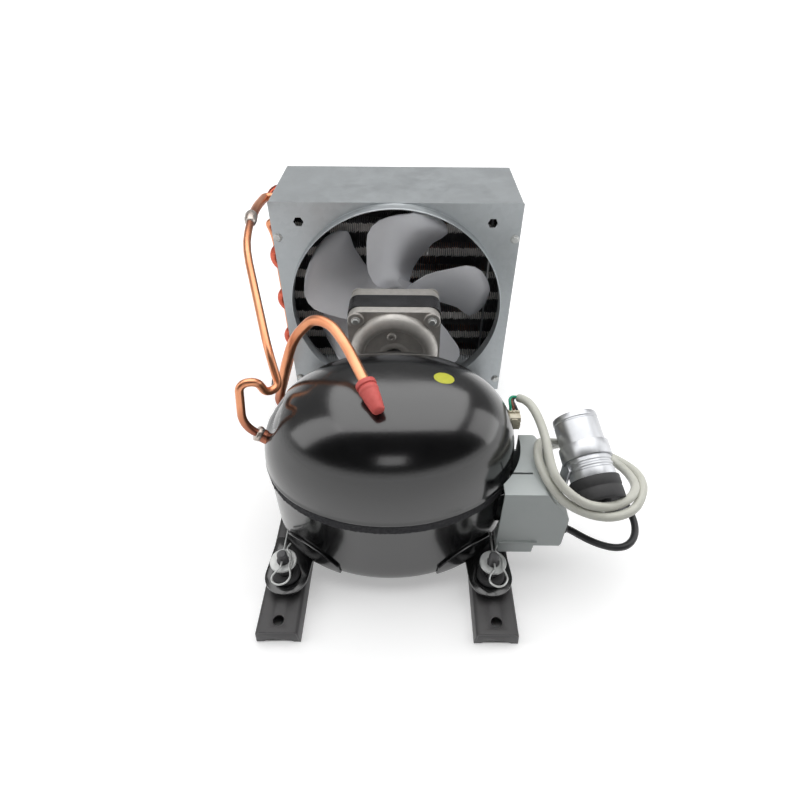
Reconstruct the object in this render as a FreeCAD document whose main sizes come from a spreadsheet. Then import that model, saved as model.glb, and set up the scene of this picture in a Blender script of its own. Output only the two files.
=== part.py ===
"""Refrigeration condensing unit: hermetic compressor, fan and finned coil on two base rails.

Millimetres, +Z up, the fan end of the unit towards +Y and the compressor towards -Y.  Every piece is
drawn from the rails' mid-plane (x = 0), the rails' front ends (y = 0) and the floor (z = 0), and its
Placement then carries it to the unit's own origin, which lies on the floor under the middle of it.
"""
import FreeCAD
import Part
import Sketcher

import math
import os
import re

from FreeCAD import Placement, Rotation, Vector

doc = FreeCAD.newDocument("condensing_unit")

# Driving sizes, in millimetres and degrees.
SIZES = (
    ("mid_x", -31.5, "rails' mid-plane from the unit's origin"),
    ("fit_gap", 0.1, "gap between pieces that are fitted together"),
    ("round_gap", 0.3, "gap between curved faces that only lie close"),
    # base rails
    ("rail_len", 420, "length of a base rail"),
    ("rail_wide", 35, "width of a rail at the floor"),
    ("rail_tall", 15, "height of a rail"),
    ("rail_gauge", 2, "sheet of the rails"),
    ("rail_flare", 1.2, "how far each flank leans out"),
    ("rail_pitch", 170, "distance between the rails' centre lines"),
    ("rail_arch", 4, "height of the arch in a rail's end flange"),
    ("rail_arch_r", 20, "radius of that arch"),
    ("base_hole_r", 4.2, "fixing hole in a rail"),
    ("base_hole_edge", 10, "fixing hole from the rail's end"),
    # compressor feet
    ("stud_pitch_x", 165, "distance between feet across the unit"),
    ("stud_pitch_y", 138, "distance between feet along the unit"),
    ("stud_r", 3.9, "mounting stud"),
    ("stud_top", 56, "top of a stud"),
    ("stud_head_r", 7, "flange of a stud under the rail"),
    ("foot_z", 23.5, "underside of a foot plate"),
    ("foot_gauge", 3, "sheet of the feet"),
    ("foot_r", 17.7, "rounded end of a foot"),
    ("foot_wide", 28, "width of a foot's arm"),
    ("foot_arm", 44, "length of a foot's arm"),
    ("foot_flange_r", 27, "welded flange of a foot"),
    ("grommet_r", 11, "top collar of a grommet"),
    ("grommet_base_r", 13.5, "base of a grommet"),
    ("grommet_neck_r", 8.6, "neck of a grommet"),
    ("grommet_collar", 5, "thickness of its top collar"),
    ("sleeve_r", 5.3, "spacer sleeve"),
    ("sleeve_bore_r", 4.3, "its bore"),
    ("sleeve_top", 45, "top of a sleeve"),
    ("washer_r", 10.5, "retaining washer"),
    ("washer_gauge", 1.8, "thickness of a washer"),
    ("clip_wire_r", 0.9, "wire of a hairpin clip"),
    ("clip_z", 50.5, "height of the clips"),
    # compressor shell
    ("shell_y", 112, "centre of the compressor behind the rails' front ends"),
    ("shell_a", 97, "half width of the lower shell"),
    ("shell_b", 71, "half depth of the lower shell"),
    ("shell_gauge", 3, "sheet of the shells"),
    ("shell_floor", 19, "bottom of the lower shell"),
    ("seam_z", 95, "rim where the shells meet"),
    ("seam_lap", 6, "how far the upper shell reaches down over the lower"),
    ("dome_top", 176, "top of the upper shell"),
    ("dome_lean", 5, "how far the top leans towards the terminals"),
    ("weld_wide", 1.6, "weld bead, across"),
    ("weld_tall", 4, "weld bead, up and down"),
    ("dimple_r", 30, "ball that presses the dimple in the dome's left side"),
    ("dimple_z", 137, "height of the dimple"),
    ("dimple_deep", 4, "depth of the dimple"),
    # compressor's motor and pump
    ("core_r", 57, "outside of the pump motor's laminations"),
    ("core_bore_r", 32, "bore of those laminations"),
    ("core_z", 42, "underside of those laminations"),
    ("core_tall", 46, "height of the stack"),
    ("coil_end_r", 42, "outside of the winding's ends"),
    ("coil_end_tall", 7, "height of the winding's ends"),
    ("pump_rotor_r", 31.4, "rotor of the pump motor"),
    ("crank_r", 8, "crankshaft"),
    ("crank_throw", 9, "throw of the crank"),
    ("crank_pin_r", 6, "crank pin"),
    ("block_lift", 10, "pillars between the laminations and the cylinder block"),
    ("block_tall", 10, "thickness of the block's plate"),
    ("block_r", 52, "radius of the block's plate"),
    ("bore_r", 12, "cylinder bore"),
    ("web_tall", 6, "thickness of the crank's web"),
    ("spring_r", 6.5, "mounting spring"),
    ("spring_at", 34, "mounting springs from the axis, each way"),
    ("spring_foot", 24, "lower end of the mounting springs before the floor trims it"),
    # terminals and relay cover
    ("terminal_y", 97, "hermetic terminal along the unit"),
    ("terminal_z", 67, "height of the hermetic terminal"),
    ("terminal_r", 12, "hermetic terminal"),
    ("fence_wide", 38, "width of the terminal fence"),
    ("fence_tall", 34, "height of the terminal fence"),
    ("fence_right", 101, "right edge of the terminal fence"),
    ("pin_end", 106, "ends of the terminal's pins"),
    ("cover_left", 86, "left side of the relay cover"),
    ("cover_right", 138, "right side of the relay cover"),
    ("cover_front", 57, "front of the relay cover"),
    ("cover_deep", 62, "depth of the relay cover"),
    ("cover_low", 45, "underside of the cover's step"),
    ("cover_step", 10, "height of the step"),
    ("cover_step_right", 114, "right end of the step"),
    ("cover_top", 112, "top of the relay cover"),
    ("cover_bevel", 28, "height of the bevel at its top right"),
    ("cover_bevel_run", 21, "width of that bevel"),
    ("cover_round", 8, "lower right corner"),
    ("cover_wall", 2, "wall of the relay cover"),
    ("cover_clear", 5, "relay cover from the shell"),
    ("gland_r", 5, "cable gland"),
    # run capacitor
    ("can_x", 154, "middle of the capacitor, across"),
    ("can_y", 99, "middle of the capacitor, along"),
    ("can_z", 112, "middle of the capacitor, up"),
    ("can_r", 17.5, "radius of the can"),
    ("can_len", 62, "length of the can"),
    ("can_turn", 27, "swing of the can's top towards the left"),
    ("can_tilt", 45, "tilt of the can from upright"),
    ("boot_wall", 1.6, "wall of the rubber boot"),
    ("boot_len", 22, "length of the boot"),
    ("boot_lap", 9, "how far the boot covers the can"),
    ("boot_tail_r", 4.2, "cable tail of the boot"),
    ("clamp_len", 12, "width of the can's clamp"),
    ("clamp_wall", 1.8, "sheet of the clamp"),
    # shroud
    ("shroud_mid", 2, "middle of the shroud from the rails' mid-plane"),
    ("shroud_wide", 234.4, "width of the shroud"),
    ("shroud_front", 292.5, "front face of the shroud"),
    ("shroud_deep", 99.9, "depth of the shroud"),
    ("shroud_top", 234.4, "top of the shroud"),
    ("shroud_gauge", 1.2, "sheet of the shroud"),
    ("shroud_foot", 36, "flange of the shroud on a rail"),
    ("collar_r", 106, "outside of the fan collar"),
    ("collar_len", 12, "how far the collar stands out"),
    ("hex_hole_r", 4.8, "hexagonal hole, to its corners"),
    ("hex_hole_edge", 26.7, "hexagonal holes from the shroud's sides"),
    ("hex_hole_drop", 18.4, "hexagonal holes from the shroud's top"),
    ("panel_screw_edge", 4.7, "panel screws from the shroud's sides"),
    ("panel_screw_drop", 33.9, "upper panel screws from the shroud's top"),
    ("panel_screw_low", 31, "lower panel screws"),
    ("screw_r", 1.9, "screws of the front panel"),
    ("screw_head_r", 4.2, "their heads"),
    ("screw_head", 2.4, "height of the heads"),
    ("window_deep", 48, "window for the return bends, along the unit"),
    ("window_drop", 4.4, "its upper edge from the shroud's top"),
    ("window_low", 26, "its lower edge"),
    # fan
    ("fan_x", 1.5, "fan axis from the rails' mid-plane"),
    ("fan_z", 127.5, "height of the fan axis"),
    ("fan_y", 301, "middle plane of the blades"),
    ("fan_r", 97, "tip radius"),
    ("fan_gauge", 1.2, "sheet of the blades"),
    ("fan_pitch_depth", 22, "axial depth of a blade at its tip"),
    ("fan_camber", 4, "hollow of a blade"),
    ("fan_disc_r", 26, "centre disc of the fan"),
    ("fan_root_r", 18, "where a blade leaves the disc"),
    ("hub_r", 9, "fan hub"),
    ("hub_len", 13, "length of the hub"),
    # fan motor
    ("motor_half", 42, "half width of the motor"),
    ("motor_front", 212, "front of the motor's square flange"),
    ("motor_flange", 9, "depth of the front cover's square flange"),
    ("motor_stack", 20, "laminations, front to back"),
    ("motor_rear_len", 12, "depth of the rear cover"),
    ("motor_round", 9, "corner radius of the motor"),
    ("motor_wall", 3, "wall of the covers"),
    ("drum_r", 34, "round drum of the front cover"),
    ("drum_len", 6, "how far the drum stands out"),
    ("stator_bore_r", 22, "bore of the laminations"),
    ("rotor_r", 21.5, "rotor"),
    ("shaft_r", 3.97, "motor shaft"),
    ("run_gap", 0.05, "running gap round the shaft"),
    ("press_gap", 0.02, "gap of what is pressed on the shaft"),
    ("bearing_r", 9, "seat of the motor's bearings"),
    ("boss_len", 3, "how far a bearing's boss stands out"),
    ("winding_len", 8, "reach of the motor's winding ends"),
    ("tie_screw_at", 33.7, "tie screws from the axis, each way"),
    ("tie_screw_r", 2.2, "tie screw"),
    # motor stand
    ("stand_gauge", 2.5, "sheet of the motor stand"),
    ("stand_deep", 28, "stand, front to back"),
    ("stand_half", 32, "half width of the stand's bridge"),
    ("stand_end", 12, "strap beyond the rails' centre lines"),
    ("stand_bolt_r", 2.5, "bolts of the stand"),
    # coil
    ("tube_r", 4.76, "coil tube"),
    ("tube_low", 44.2, "height of the lowest tubes"),
    ("row_front", 338, "front row of tubes"),
    ("row_pitch", 22, "rear row behind the front row"),
    ("tube_drop", 12.4, "highest tubes from the shroud's top"),
    ("fin_margin", 12.5, "fins beyond the rows of tubes"),
    ("fin_groove", 6, "depth of the gaps between fins"),
    ("fin_pitch", 9.6, "one fin to the next"),
    ("fin_slot", 5.4, "gap between two fins"),
    ("coil_side", 23.2, "right end plate from the shroud's right side"),
    ("plate_gauge", 1.5, "sheet of the end plates"),
    ("bend_reach", 3, "straight end of a return bend"),
    # refrigerant lines
    ("line_r", 3.175, "quarter-inch line"),
    ("wide_line_r", 3.97, "five-sixteenths line"),
    ("discharge_y", 100, "discharge stub along the unit"),
    ("discharge_z", 126, "discharge stub's height"),
    ("suction_y", 148, "suction stub along the unit"),
    ("suction_z", 112, "suction stub's height"),
    ("stub_r", 5.2, "stubs in the shell"),
    ("joint_lift", 5, "brazed joint above the highest tubes"),
    ("joint_r", 5.4, "brazed joint"),
    ("joint_len", 9, "length of the brazed joint"),
    ("cap_wall", 1.4, "wall of the rubber caps"),
    ("cap_lap", 9, "how far a cap covers its line"),
    # cords
    ("supply_r", 3.6, "supply cable"),
    ("core_wire_r", 1.1, "its cores"),
    ("black_cable_r", 2.8, "capacitor cable"),
    ("loop_band_r", 6, "bundle of the supply cable's loops"),
    ("loop_z", 100, "height of the loops"),
    ("loop_slope", 0.36, "fall of the loops towards the right"),
    ("loop_dip", 0.2, "fall of the loops towards the coil"),
    ("loop_r", 38, "middle of that bundle"),
)

# Places and sizes that follow from the driving ones.
DERIVED = {
    "stud_front": "(shell_y - stud_pitch_y / 2)",
    "stud_rear": "(shell_y + stud_pitch_y / 2)",
    "foot_top": "(foot_z + foot_gauge)",
    "upper_a": "(shell_a + fit_gap + shell_gauge)",
    "shroud_left": "(shroud_mid - shroud_wide / 2)",
    "shroud_right": "(shroud_mid + shroud_wide / 2)",
    "shroud_back": "(shroud_front + shroud_deep)",
    "stack_front": "(motor_front + motor_flange)",
    "stack_back": "(motor_front + motor_flange + motor_stack)",
    "motor_back": "(motor_front + motor_flange + motor_stack + motor_rear_len)",
    "motor_low": "(fan_z - motor_half)",
    "stand_y": "(motor_front + motor_flange + motor_stack / 2)",
    "hub_front": "(fan_y - hub_len)",
    "row_rear": "(row_front + row_pitch)",
    "fin_front": "(row_front - fin_margin)",
    "fin_back": "(row_front + row_pitch + fin_margin)",
    "coil_left": "(shroud_mid - shroud_wide / 2 + shroud_gauge)",
    "core_top": "(core_z + core_tall)",
    "block_low": "(core_z + core_tall + block_lift)",
    "block_top": "(core_z + core_tall + block_lift + block_tall)",
    "piston_z": "(core_z + core_tall + block_lift + block_tall + web_tall + 8)",
    "coil_right": "(shroud_mid + shroud_wide / 2 - coil_side)",
    "hex_hole_x": "(shroud_wide / 2 - hex_hole_edge)",
    "hex_hole_z": "(shroud_top - hex_hole_drop)",
    "panel_screw_x": "(shroud_wide / 2 - panel_screw_edge)",
    "panel_screw_high": "(shroud_top - panel_screw_drop)",
    "window_tall": "(shroud_top - window_drop - window_low)",
    "tube_top": "(shroud_top - tube_drop)",
    "tube_pitch": "((shroud_top - tube_drop - tube_low) / 7)",
    "joint_z": "(shroud_top - tube_drop + joint_lift)",
    "coil_floor": "(rail_tall + shroud_gauge + fit_gap)",
    "fin_high": "(shroud_top - shroud_gauge - 1)",
}
TUBE_ROWS = 8
FAN_BLADES = 5

sheet = doc.addObject("Spreadsheet::Sheet", "sizes")
for row, (alias, number, note) in enumerate(SIZES, start=1):
    sheet.set(f"A{row}", note)
    sheet.set(f"B{row}", str(number))
    sheet.setAlias(f"B{row}", alias)
doc.recompute()

ALIASES = {alias for alias, _, _ in SIZES}
WORD = re.compile(r"[a-z][a-z0-9_]*")
PARTS = []


def spell(text):
    """Writes out the derived names of an expression."""
    text = str(text)
    while any(word in DERIVED for word in WORD.findall(text)):
        text = WORD.sub(lambda found: DERIVED.get(found.group(), found.group()), text)
    return text


def bind(text):
    """An expression for an object's property, with its names looked up in the sheet."""
    return WORD.sub(lambda found: ("sizes." if found.group() in ALIASES else "") + found.group(), spell(text))


def value(text):
    """The number that an expression has now."""
    return float(sheet.evalExpression(spell(text)))


def point(place):
    return Vector(*(value(text) for text in place))


def move(thing, place):
    """Binds an object's position to three expressions."""
    for axis, text in zip("xyz", place):
        thing.setExpression(f"Placement.Base.{axis}", bind(text))


def finish(thing, node):
    """Names a finished sub-part and carries it from the rails' front ends to the unit's origin."""
    thing.Label = node
    move(thing, ("mid_x", "-rail_len / 2", "0"))
    PARTS.append(thing)
    return thing


ALONG_X = Rotation(Vector(0, 1, 0), 90)
TO_REAR = Rotation(Vector(0, 0, 1), Vector(0, 1, 0))
TO_RIGHT = Rotation(Vector(0, 0, 1), Vector(1, 0, 0))


# Part Design helpers.
def body(name):
    return doc.addObject("PartDesign::Body", name)


def sketch_on(owner, role, name, offset="0"):
    sketch = owner.newObject("Sketcher::SketchObject", name)
    plane = next(feature for feature in owner.Origin.OriginFeatures if feature.Role == role)
    sketch.AttachmentSupport = [(plane, "")]
    sketch.MapMode = "FlatFace"
    sketch.setExpression("AttachmentOffset.Base.z", bind(offset))
    return sketch


def sketch_flat(owner, name, height):
    """A sketch that looks down on the unit, at a height."""
    return sketch_on(owner, "XY_Plane", name, height)


def sketch_front(owner, name, distance):
    """A sketch that faces the unit's front, at a distance behind the rails' front ends."""
    return sketch_on(owner, "XZ_Plane", name, f"-({distance})")


def bound(sketch, kind, arguments, text):
    index = sketch.addConstraint(Sketcher.Constraint(kind, *arguments, value(text)))
    sketch.setExpression(f"Constraints[{index}]", bind(text))


def outline(sketch, corners):
    """A closed outline of straight lines, each corner bound to two expressions."""
    first = sketch.GeometryCount
    spots = [Vector(value(across), value(up), 0) for across, up in corners]
    count = len(spots)
    for index in range(count):
        sketch.addGeometry(Part.LineSegment(spots[index], spots[(index + 1) % count]), False)
    for index, (across, up) in enumerate(corners):
        line = first + index
        following = first + (index + 1) % count
        sketch.addConstraint(Sketcher.Constraint("Coincident", line, 2, following, 1))
        bound(sketch, "DistanceX", (-1, 1, line, 1), across)
        bound(sketch, "DistanceY", (-1, 1, line, 1), up)


def rectangle(sketch, left, low, right, high):
    outline(sketch, ((left, low), (right, low), (right, high), (left, high)))


def circle(sketch, across, up, radius):
    index = sketch.addGeometry(
        Part.Circle(Vector(value(across), value(up), 0), Vector(0, 0, 1), value(radius)), False
    )
    bound(sketch, "DistanceX", (-1, 1, index, 3), across)
    bound(sketch, "DistanceY", (-1, 1, index, 3), up)
    bound(sketch, "Radius", (index,), radius)


def pad(owner, sketch, length, backwards=False):
    feature = owner.newObject("PartDesign::Pad", sketch.Name + "_pad")
    feature.Profile = sketch
    feature.setExpression("Length", bind(length))
    feature.Reversed = backwards
    sketch.Visibility = False
    return feature


def pocket(owner, sketch, length, backwards=False):
    feature = owner.newObject("PartDesign::Pocket", sketch.Name + "_pocket")
    feature.Profile = sketch
    feature.setExpression("Length", bind(length))
    feature.Reversed = backwards
    return feature


def fillet_edges(owner, base, radius, wanted):
    """Rounds the edges of a feature that a test picks out."""
    doc.recompute()
    names = [f"Edge{number}" for number, edge in enumerate(base.Shape.Edges, start=1) if wanted(edge)]
    feature = owner.newObject("PartDesign::Fillet", base.Name + "_round")
    feature.Base = (base, names)
    feature.setExpression("Radius", bind(radius))
    return feature


def runs_along(edge, axis, smallest=1.0):
    """Whether an edge is a straight line along an axis."""
    if not isinstance(edge.Curve, Part.Line) or edge.Length < smallest:
        return False
    return abs(edge.Curve.Direction.dot(axis)) > 0.999


# Bent tubes, wires and cords.
def bent_wire(places):
    """Straight runs joined by tangent arcs as large as the runs allow, and the radius of each arc."""
    edges = []
    radii = []
    start = places[0]
    for before, corner, after in zip(places, places[1:], places[2:]):
        inward = (corner - before).normalize()
        outward = (after - corner).normalize()
        turn = inward.getAngle(outward)
        shorter = min(before.distanceToPoint(corner), corner.distanceToPoint(after))
        radius = 0.45 * shorter / math.tan(turn / 2)
        setback = radius * math.tan(turn / 2)
        arc_start = corner - inward * setback
        arc_end = corner + outward * setback
        bisector = (outward - inward).normalize()
        middle = corner + bisector * (radius / math.cos(turn / 2) - radius)
        edges.append(Part.LineSegment(start, arc_start).toShape())
        edges.append(Part.Arc(arc_start, middle, arc_end).toShape())
        radii.append(radius)
        start = arc_end
    edges.append(Part.LineSegment(start, places[-1]).toShape())
    return Part.Wire(edges), radii


# Base rails.
def rail(node, side):
    """An inverted channel, its front and rear ends closed by flanges with a shallow arch."""
    rail_body = body(node)
    middle = f"({side} * rail_pitch / 2)"
    half = "rail_wide / 2"
    profile = sketch_front(rail_body, node + "_profile", "0")
    outline(
        profile,
        (
            (f"{middle} - {half}", "0"),
            (f"{middle} - {half} + rail_flare", "rail_tall"),
            (f"{middle} + {half} - rail_flare", "rail_tall"),
            (f"{middle} + {half}", "0"),
            (f"{middle} + {half} - rail_gauge", "0"),
            (f"{middle} + {half} - rail_flare - rail_gauge", "rail_tall - rail_gauge"),
            (f"{middle} - {half} + rail_flare + rail_gauge", "rail_tall - rail_gauge"),
            (f"{middle} - {half} + rail_gauge", "0"),
        ),
    )
    pad(rail_body, profile, "rail_len", backwards=True)
    for end, start in (("front", "0"), ("rear", "rail_len - rail_gauge")):
        flange = sketch_front(rail_body, f"{node}_{end}_flange", start)
        outline(
            flange,
            (
                (f"{middle} - {half} + rail_gauge / 2", "0"),
                (f"{middle} + {half} - rail_gauge / 2", "0"),
                (f"{middle} + {half} - rail_flare - rail_gauge / 2", "rail_tall - rail_gauge / 2"),
                (f"{middle} - {half} + rail_flare + rail_gauge / 2", "rail_tall - rail_gauge / 2"),
            ),
        )
        pad(rail_body, flange, "rail_gauge", backwards=True)
    arch = sketch_front(rail_body, node + "_arch", "0")
    circle(arch, middle, "rail_arch - rail_arch_r", "rail_arch_r")
    pocket(rail_body, arch, "rail_len")
    holes = sketch_flat(rail_body, node + "_holes", "0")
    circle(holes, middle, "base_hole_edge", "base_hole_r")
    circle(holes, middle, "rail_len - base_hole_edge", "base_hole_r")
    stud = f"({side} * stud_pitch_x / 2)"
    for along in ("stud_front", "stud_rear"):
        circle(holes, stud, along, "stud_r + fit_gap")
    circle(holes, middle, "stand_y", "stand_bolt_r + fit_gap")
    pocket(rail_body, holes, "rail_tall + 1", backwards=True)
    finish(rail_body, node)


rail("rail_left", -1)
rail("rail_right", 1)


# Forms with flat faces: prisms, bent bars and turned pieces whose rings have equally many corners.
def joined_rings(rings, closed=False):
    """The solid whose flat faces join a row of polygons."""
    count = len(rings[0])
    faces = []
    if not closed:
        faces = [Part.Face(Part.makePolygon([*corners, corners[0]])) for corners in (rings[0], rings[-1])]
    following_rings = rings[1:] + (rings[:1] if closed else [])
    for low, high in zip(rings, following_rings):
        for index in range(count):
            after = (index + 1) % count
            corners = [low[index], low[after], high[after], high[index], low[index]]
            faces.append(Part.Face(Part.makePolygon(corners)))
    solid = Part.Solid(Part.makeShell(faces))
    if solid.Volume < 0:
        solid.reverse()
    return solid


def feature(name, shape):
    thing = doc.addObject("Part::Feature", name)
    thing.Shape = shape
    return thing


def spun(profile, sides, place, rotation=Rotation()):
    """A turned solid with flat sides, from pairs of radius and height."""
    middle = point(place)
    rings = []
    for radius, height in profile:
        corners = []
        for step in range(sides):
            angle = 2 * math.pi * (step + 0.5) / sides
            local = Vector(value(radius) * math.cos(angle), value(radius) * math.sin(angle), value(height))
            corners.append(middle + rotation.multVec(local))
        rings.append(corners)
    return joined_rings(rings)


def crossing(place, along, station, normal):
    """Where a line through a place meets the plane at a station."""
    return place + along * ((station - place).dot(normal) / along.dot(normal))


def section(place, along, radius, sides):
    """A polygon square to a direction."""
    turn = Rotation(Vector(0, 0, 1), along)
    angles = [2 * math.pi * (step + 0.5) / sides for step in range(sides)]
    return [place + turn.multVec(Vector(radius * math.cos(a), radius * math.sin(a), 0)) for a in angles]


def faceted_bar(stations, radius, sides):
    """A bar of polygonal section that is mitred at each station."""
    runs = [(after - before).normalize() for before, after in zip(stations, stations[1:])]
    rings = [section(stations[0], runs[0], radius, sides)]
    for index, station in enumerate(stations[1:]):
        inward = runs[index]
        normal = inward if index == len(runs) - 1 else (inward + runs[index + 1]).normalize()
        rings.append([crossing(corner, inward, station, normal) for corner in rings[-1]])
    return joined_rings(rings)


def bar_stations(places, largest_turn=math.radians(36)):
    """The places of a bent bar, with each bend cut into short chords."""
    path, _ = bent_wire(places)
    stations = [places[0]]
    for edge in path.Edges:
        if isinstance(edge.Curve, Part.Circle):
            turn = edge.Length / edge.Curve.Radius
            steps = max(1, math.ceil(turn / largest_turn))
            first, span = edge.FirstParameter, edge.LastParameter - edge.FirstParameter
            spots = [edge.valueAt(first + span * step / steps) for step in range(steps + 1)]
            if spots[0].distanceToPoint(stations[-1]) > spots[-1].distanceToPoint(stations[-1]):
                spots.reverse()
            stations.extend(spots)
    stations.append(places[-1])
    return stations


def line(name, places, radius, sides=8):
    """A rigid refrigerant line along a route of named places."""
    spots = [point(place) for place in places]
    return feature(name, faceted_bar(bar_stations(spots), value(radius), sides))


# Compressor shells: an ellipse whose size follows a rounded profile from the seam to the top or the floor.
SHELL_SIDES = 36
DOME_LEVELS = (0, 0.3, 0.52, 0.7, 0.84, 0.94, 0.99)
DOME_ROUND = 2.6
BOWL_LEVELS = (0, 0.6, 0.8, 0.92, 0.985)
BOWL_ROUND = 4.5


def ellipse_ring(half_wide, half_deep, middle_x, height):
    """Corners on an ellipse round the compressor's upright axis."""
    corners = []
    for step in range(SHELL_SIDES):
        angle = 2 * math.pi * step / SHELL_SIDES
        across = middle_x + half_wide * math.cos(angle)
        along = value("shell_y") + half_deep * math.sin(angle)
        corners.append(Vector(across, along, height))
    return corners


def pressed_form(levels, roundness, far_z, grow, lean=0):
    """The solid between the seam and a far level, shrinking along a superellipse."""
    rings = []
    for level in levels:
        share = (1 - level**roundness) ** (1 / roundness)
        height = value("seam_z") + level * (far_z - value("seam_z"))
        half_wide = share * (value("shell_a") + grow)
        half_deep = share * (value("shell_b") + grow)
        rings.append(ellipse_ring(half_wide, half_deep, lean * level**2, height))
    return joined_rings(rings)


def wall_form(grow, low, high):
    """An upright elliptical slab round the compressor's axis."""
    half_wide = value("shell_a") + grow
    half_deep = value("shell_b") + grow
    return joined_rings([ellipse_ring(half_wide, half_deep, 0, level) for level in (low, high)])


def bowl_form(grow, floor):
    return pressed_form(BOWL_LEVELS, BOWL_ROUND, floor, grow)


def dome_form(grow, top):
    return pressed_form(DOME_LEVELS, DOME_ROUND, top, grow, value("dome_lean"))


def on_axis(profile, sides=20):
    """A turned piece on the fan's axis, from pairs of radius and distance behind the rails' front ends."""
    return spun(profile, sides, ("fan_x", "0", "fan_z"), TO_REAR)


def stub_axis(node):
    """Where a stub leaves the shell, and which way it points."""
    inner, outer = STUB_ENDS[node]
    return point(inner), (point(outer) - point(inner)).normalize()


STUB_ENDS = {
    "discharge_stub": (("-88", "discharge_y", "discharge_z - 4.5"), ("-100", "discharge_y", "discharge_z + 4.5")),
    "suction_stub": (("-76", "suction_y - 8", "suction_z"), ("-91", "suction_y + 2", "suction_z + 2")),
}


def lower_shell():
    outside = bowl_form(0, value("shell_floor"))
    inside = bowl_form(-value("shell_gauge"), value("shell_floor + shell_gauge"))
    hole = Part.makeCylinder(value("terminal_r + fit_gap"), 40, point(("70", "terminal_y", "terminal_z")),
                             Vector(1, 0, 0))
    return outside.cut(inside).cut(hole)


def upper_shell():
    """The dome with its skirt over the lower shell's rim, a pressed dimple and two stub holes."""
    gap = value("fit_gap")
    thick = gap + value("shell_gauge")
    skirt_low = value("seam_z - seam_lap")
    outside = dome_form(thick, value("dome_top")).fuse(wall_form(thick, skirt_low, value("seam_z")))
    inside = dome_form(gap, value("dome_top - shell_gauge")).fuse(wall_form(gap, skirt_low - 1, value("seam_z")))
    press = Part.makeSphere(value("dimple_r"), point(("-upper_a - dimple_r + dimple_deep", "shell_y", "dimple_z")))
    shell = outside.cut(inside).cut(press)
    for node in STUB_ENDS:
        start, along = stub_axis(node)
        shell = shell.cut(Part.makeCylinder(value("stub_r + fit_gap"), 40, start - along * 20, along))
    return shell


def seam_weld():
    high = value("seam_z - seam_lap - fit_gap")
    low = high - value("weld_tall")
    gap = value("fit_gap")
    return wall_form(gap + value("weld_wide"), low, high).cut(wall_form(gap, low, high))


finish(feature("lower_shell_form", lower_shell()), "lower_shell")
finish(feature("upper_shell_form", upper_shell()), "upper_shell")
finish(feature("seam_weld_form", seam_weld()), "seam_weld")


# Feet: a rounded plate on its grommet, an arm to the shell and a flange welded against it.
def foot(node, side, end, along):
    stud = point((f"{side} * stud_pitch_x / 2", along, "foot_z"))
    spot = [str(number) for number in stud]
    inward = Vector(-side, -end * 0.62, 0).normalize()
    turn = Rotation(Vector(1, 0, 0), inward)
    arm = Part.makeBox(value("foot_arm"), value("foot_wide"), value("foot_gauge"),
                       Vector(0, -value("foot_wide") / 2, 0))
    arm.Placement = Placement(stud, turn)
    plate = spun((("foot_r", "0"), ("foot_r", "foot_gauge")), 20, spot).fuse(arm)
    across = Rotation(Vector(0, 0, 1), inward)
    middle = [str(number) for number in stud + inward * 8 + Vector(0, 0, 4)]
    disc = spun((("foot_flange_r", "0"), ("foot_flange_r", "foot_arm")), 16, middle, across)
    jacket = bowl_form(value("fit_gap + foot_gauge"), value("shell_floor - foot_gauge"))
    clear = bowl_form(value("fit_gap"), value("shell_floor - fit_gap"))
    hole = spun((("grommet_neck_r + fit_gap", "-1"), ("grommet_neck_r + fit_gap", "foot_gauge + 1")), 16, spot)
    whole = plate.fuse(jacket.common(disc)).cut(clear).cut(hole)
    finish(feature(node + "_form", whole), node)


FEET = (
    ("foot_front_left", -1, -1, "stud_front"),
    ("foot_front_right", 1, -1, "stud_front"),
    ("foot_rear_left", -1, 1, "stud_rear"),
    ("foot_rear_right", 1, 1, "stud_rear"),
)
for foot_name, foot_side, foot_end, foot_along in FEET:
    foot(foot_name, foot_side, foot_end, foot_along)


# What holds each foot: stud, grommet, sleeve, washer and hairpin clip.
def at_each_foot(node, make):
    pieces = [make(f"{side} * stud_pitch_x / 2", along) for _, side, _, along in FEET]
    finish(feature(node + "_set", Part.makeCompound(pieces)), node)


def turned_ring(outside, bore, low, high, place, sides):
    """A turned solid less a straight bore."""
    hole = spun(((bore, f"{low} - 1"), (bore, f"{high} + 1")), sides, place)
    return spun(outside, sides, place).cut(hole)


def stud_piece(across, along):
    """A stud with a flange under the rail and a cross hole for its clip."""
    web = "rail_tall - rail_gauge"
    profile = (
        ("stud_head_r", f"{web} - 3"), ("stud_head_r", web), ("stud_r", web),
        ("stud_r", "stud_top - 1"), ("stud_r - 1", "stud_top"),
    )
    hole = Part.makeBox(
        value("2 * clip_wire_r + 0.6"), value("4 * stud_r"), value("2 * clip_wire_r + 0.6"),
        point((f"{across} - clip_wire_r - 0.3", f"{along} - 2 * stud_r", "clip_z - clip_wire_r - 0.3")),
    )
    return spun(profile, 8, (across, along, "0")).cut(hole)


def grommet_piece(across, along):
    profile = (
        ("grommet_base_r", "rail_tall"), ("grommet_base_r", "foot_z"), ("grommet_neck_r", "foot_z"),
        ("grommet_neck_r", "foot_top"), ("grommet_r", "foot_top"), ("grommet_r", "foot_top + grommet_collar"),
    )
    bore = "(sleeve_r + fit_gap)"
    return turned_ring(profile, bore, "rail_tall", "foot_top + grommet_collar", (across, along, "0"), 12)


def sleeve_piece(across, along):
    profile = (("sleeve_r", "rail_tall"), ("sleeve_r", "sleeve_top"))
    return turned_ring(profile, "sleeve_bore_r", "rail_tall", "sleeve_top", (across, along, "0"), 8)


def washer_piece(across, along):
    profile = (("washer_r", "sleeve_top"), ("washer_r", "sleeve_top + washer_gauge"))
    return turned_ring(profile, "sleeve_bore_r", "sleeve_top", "sleeve_top + washer_gauge", (across, along, "0"), 12)


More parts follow.
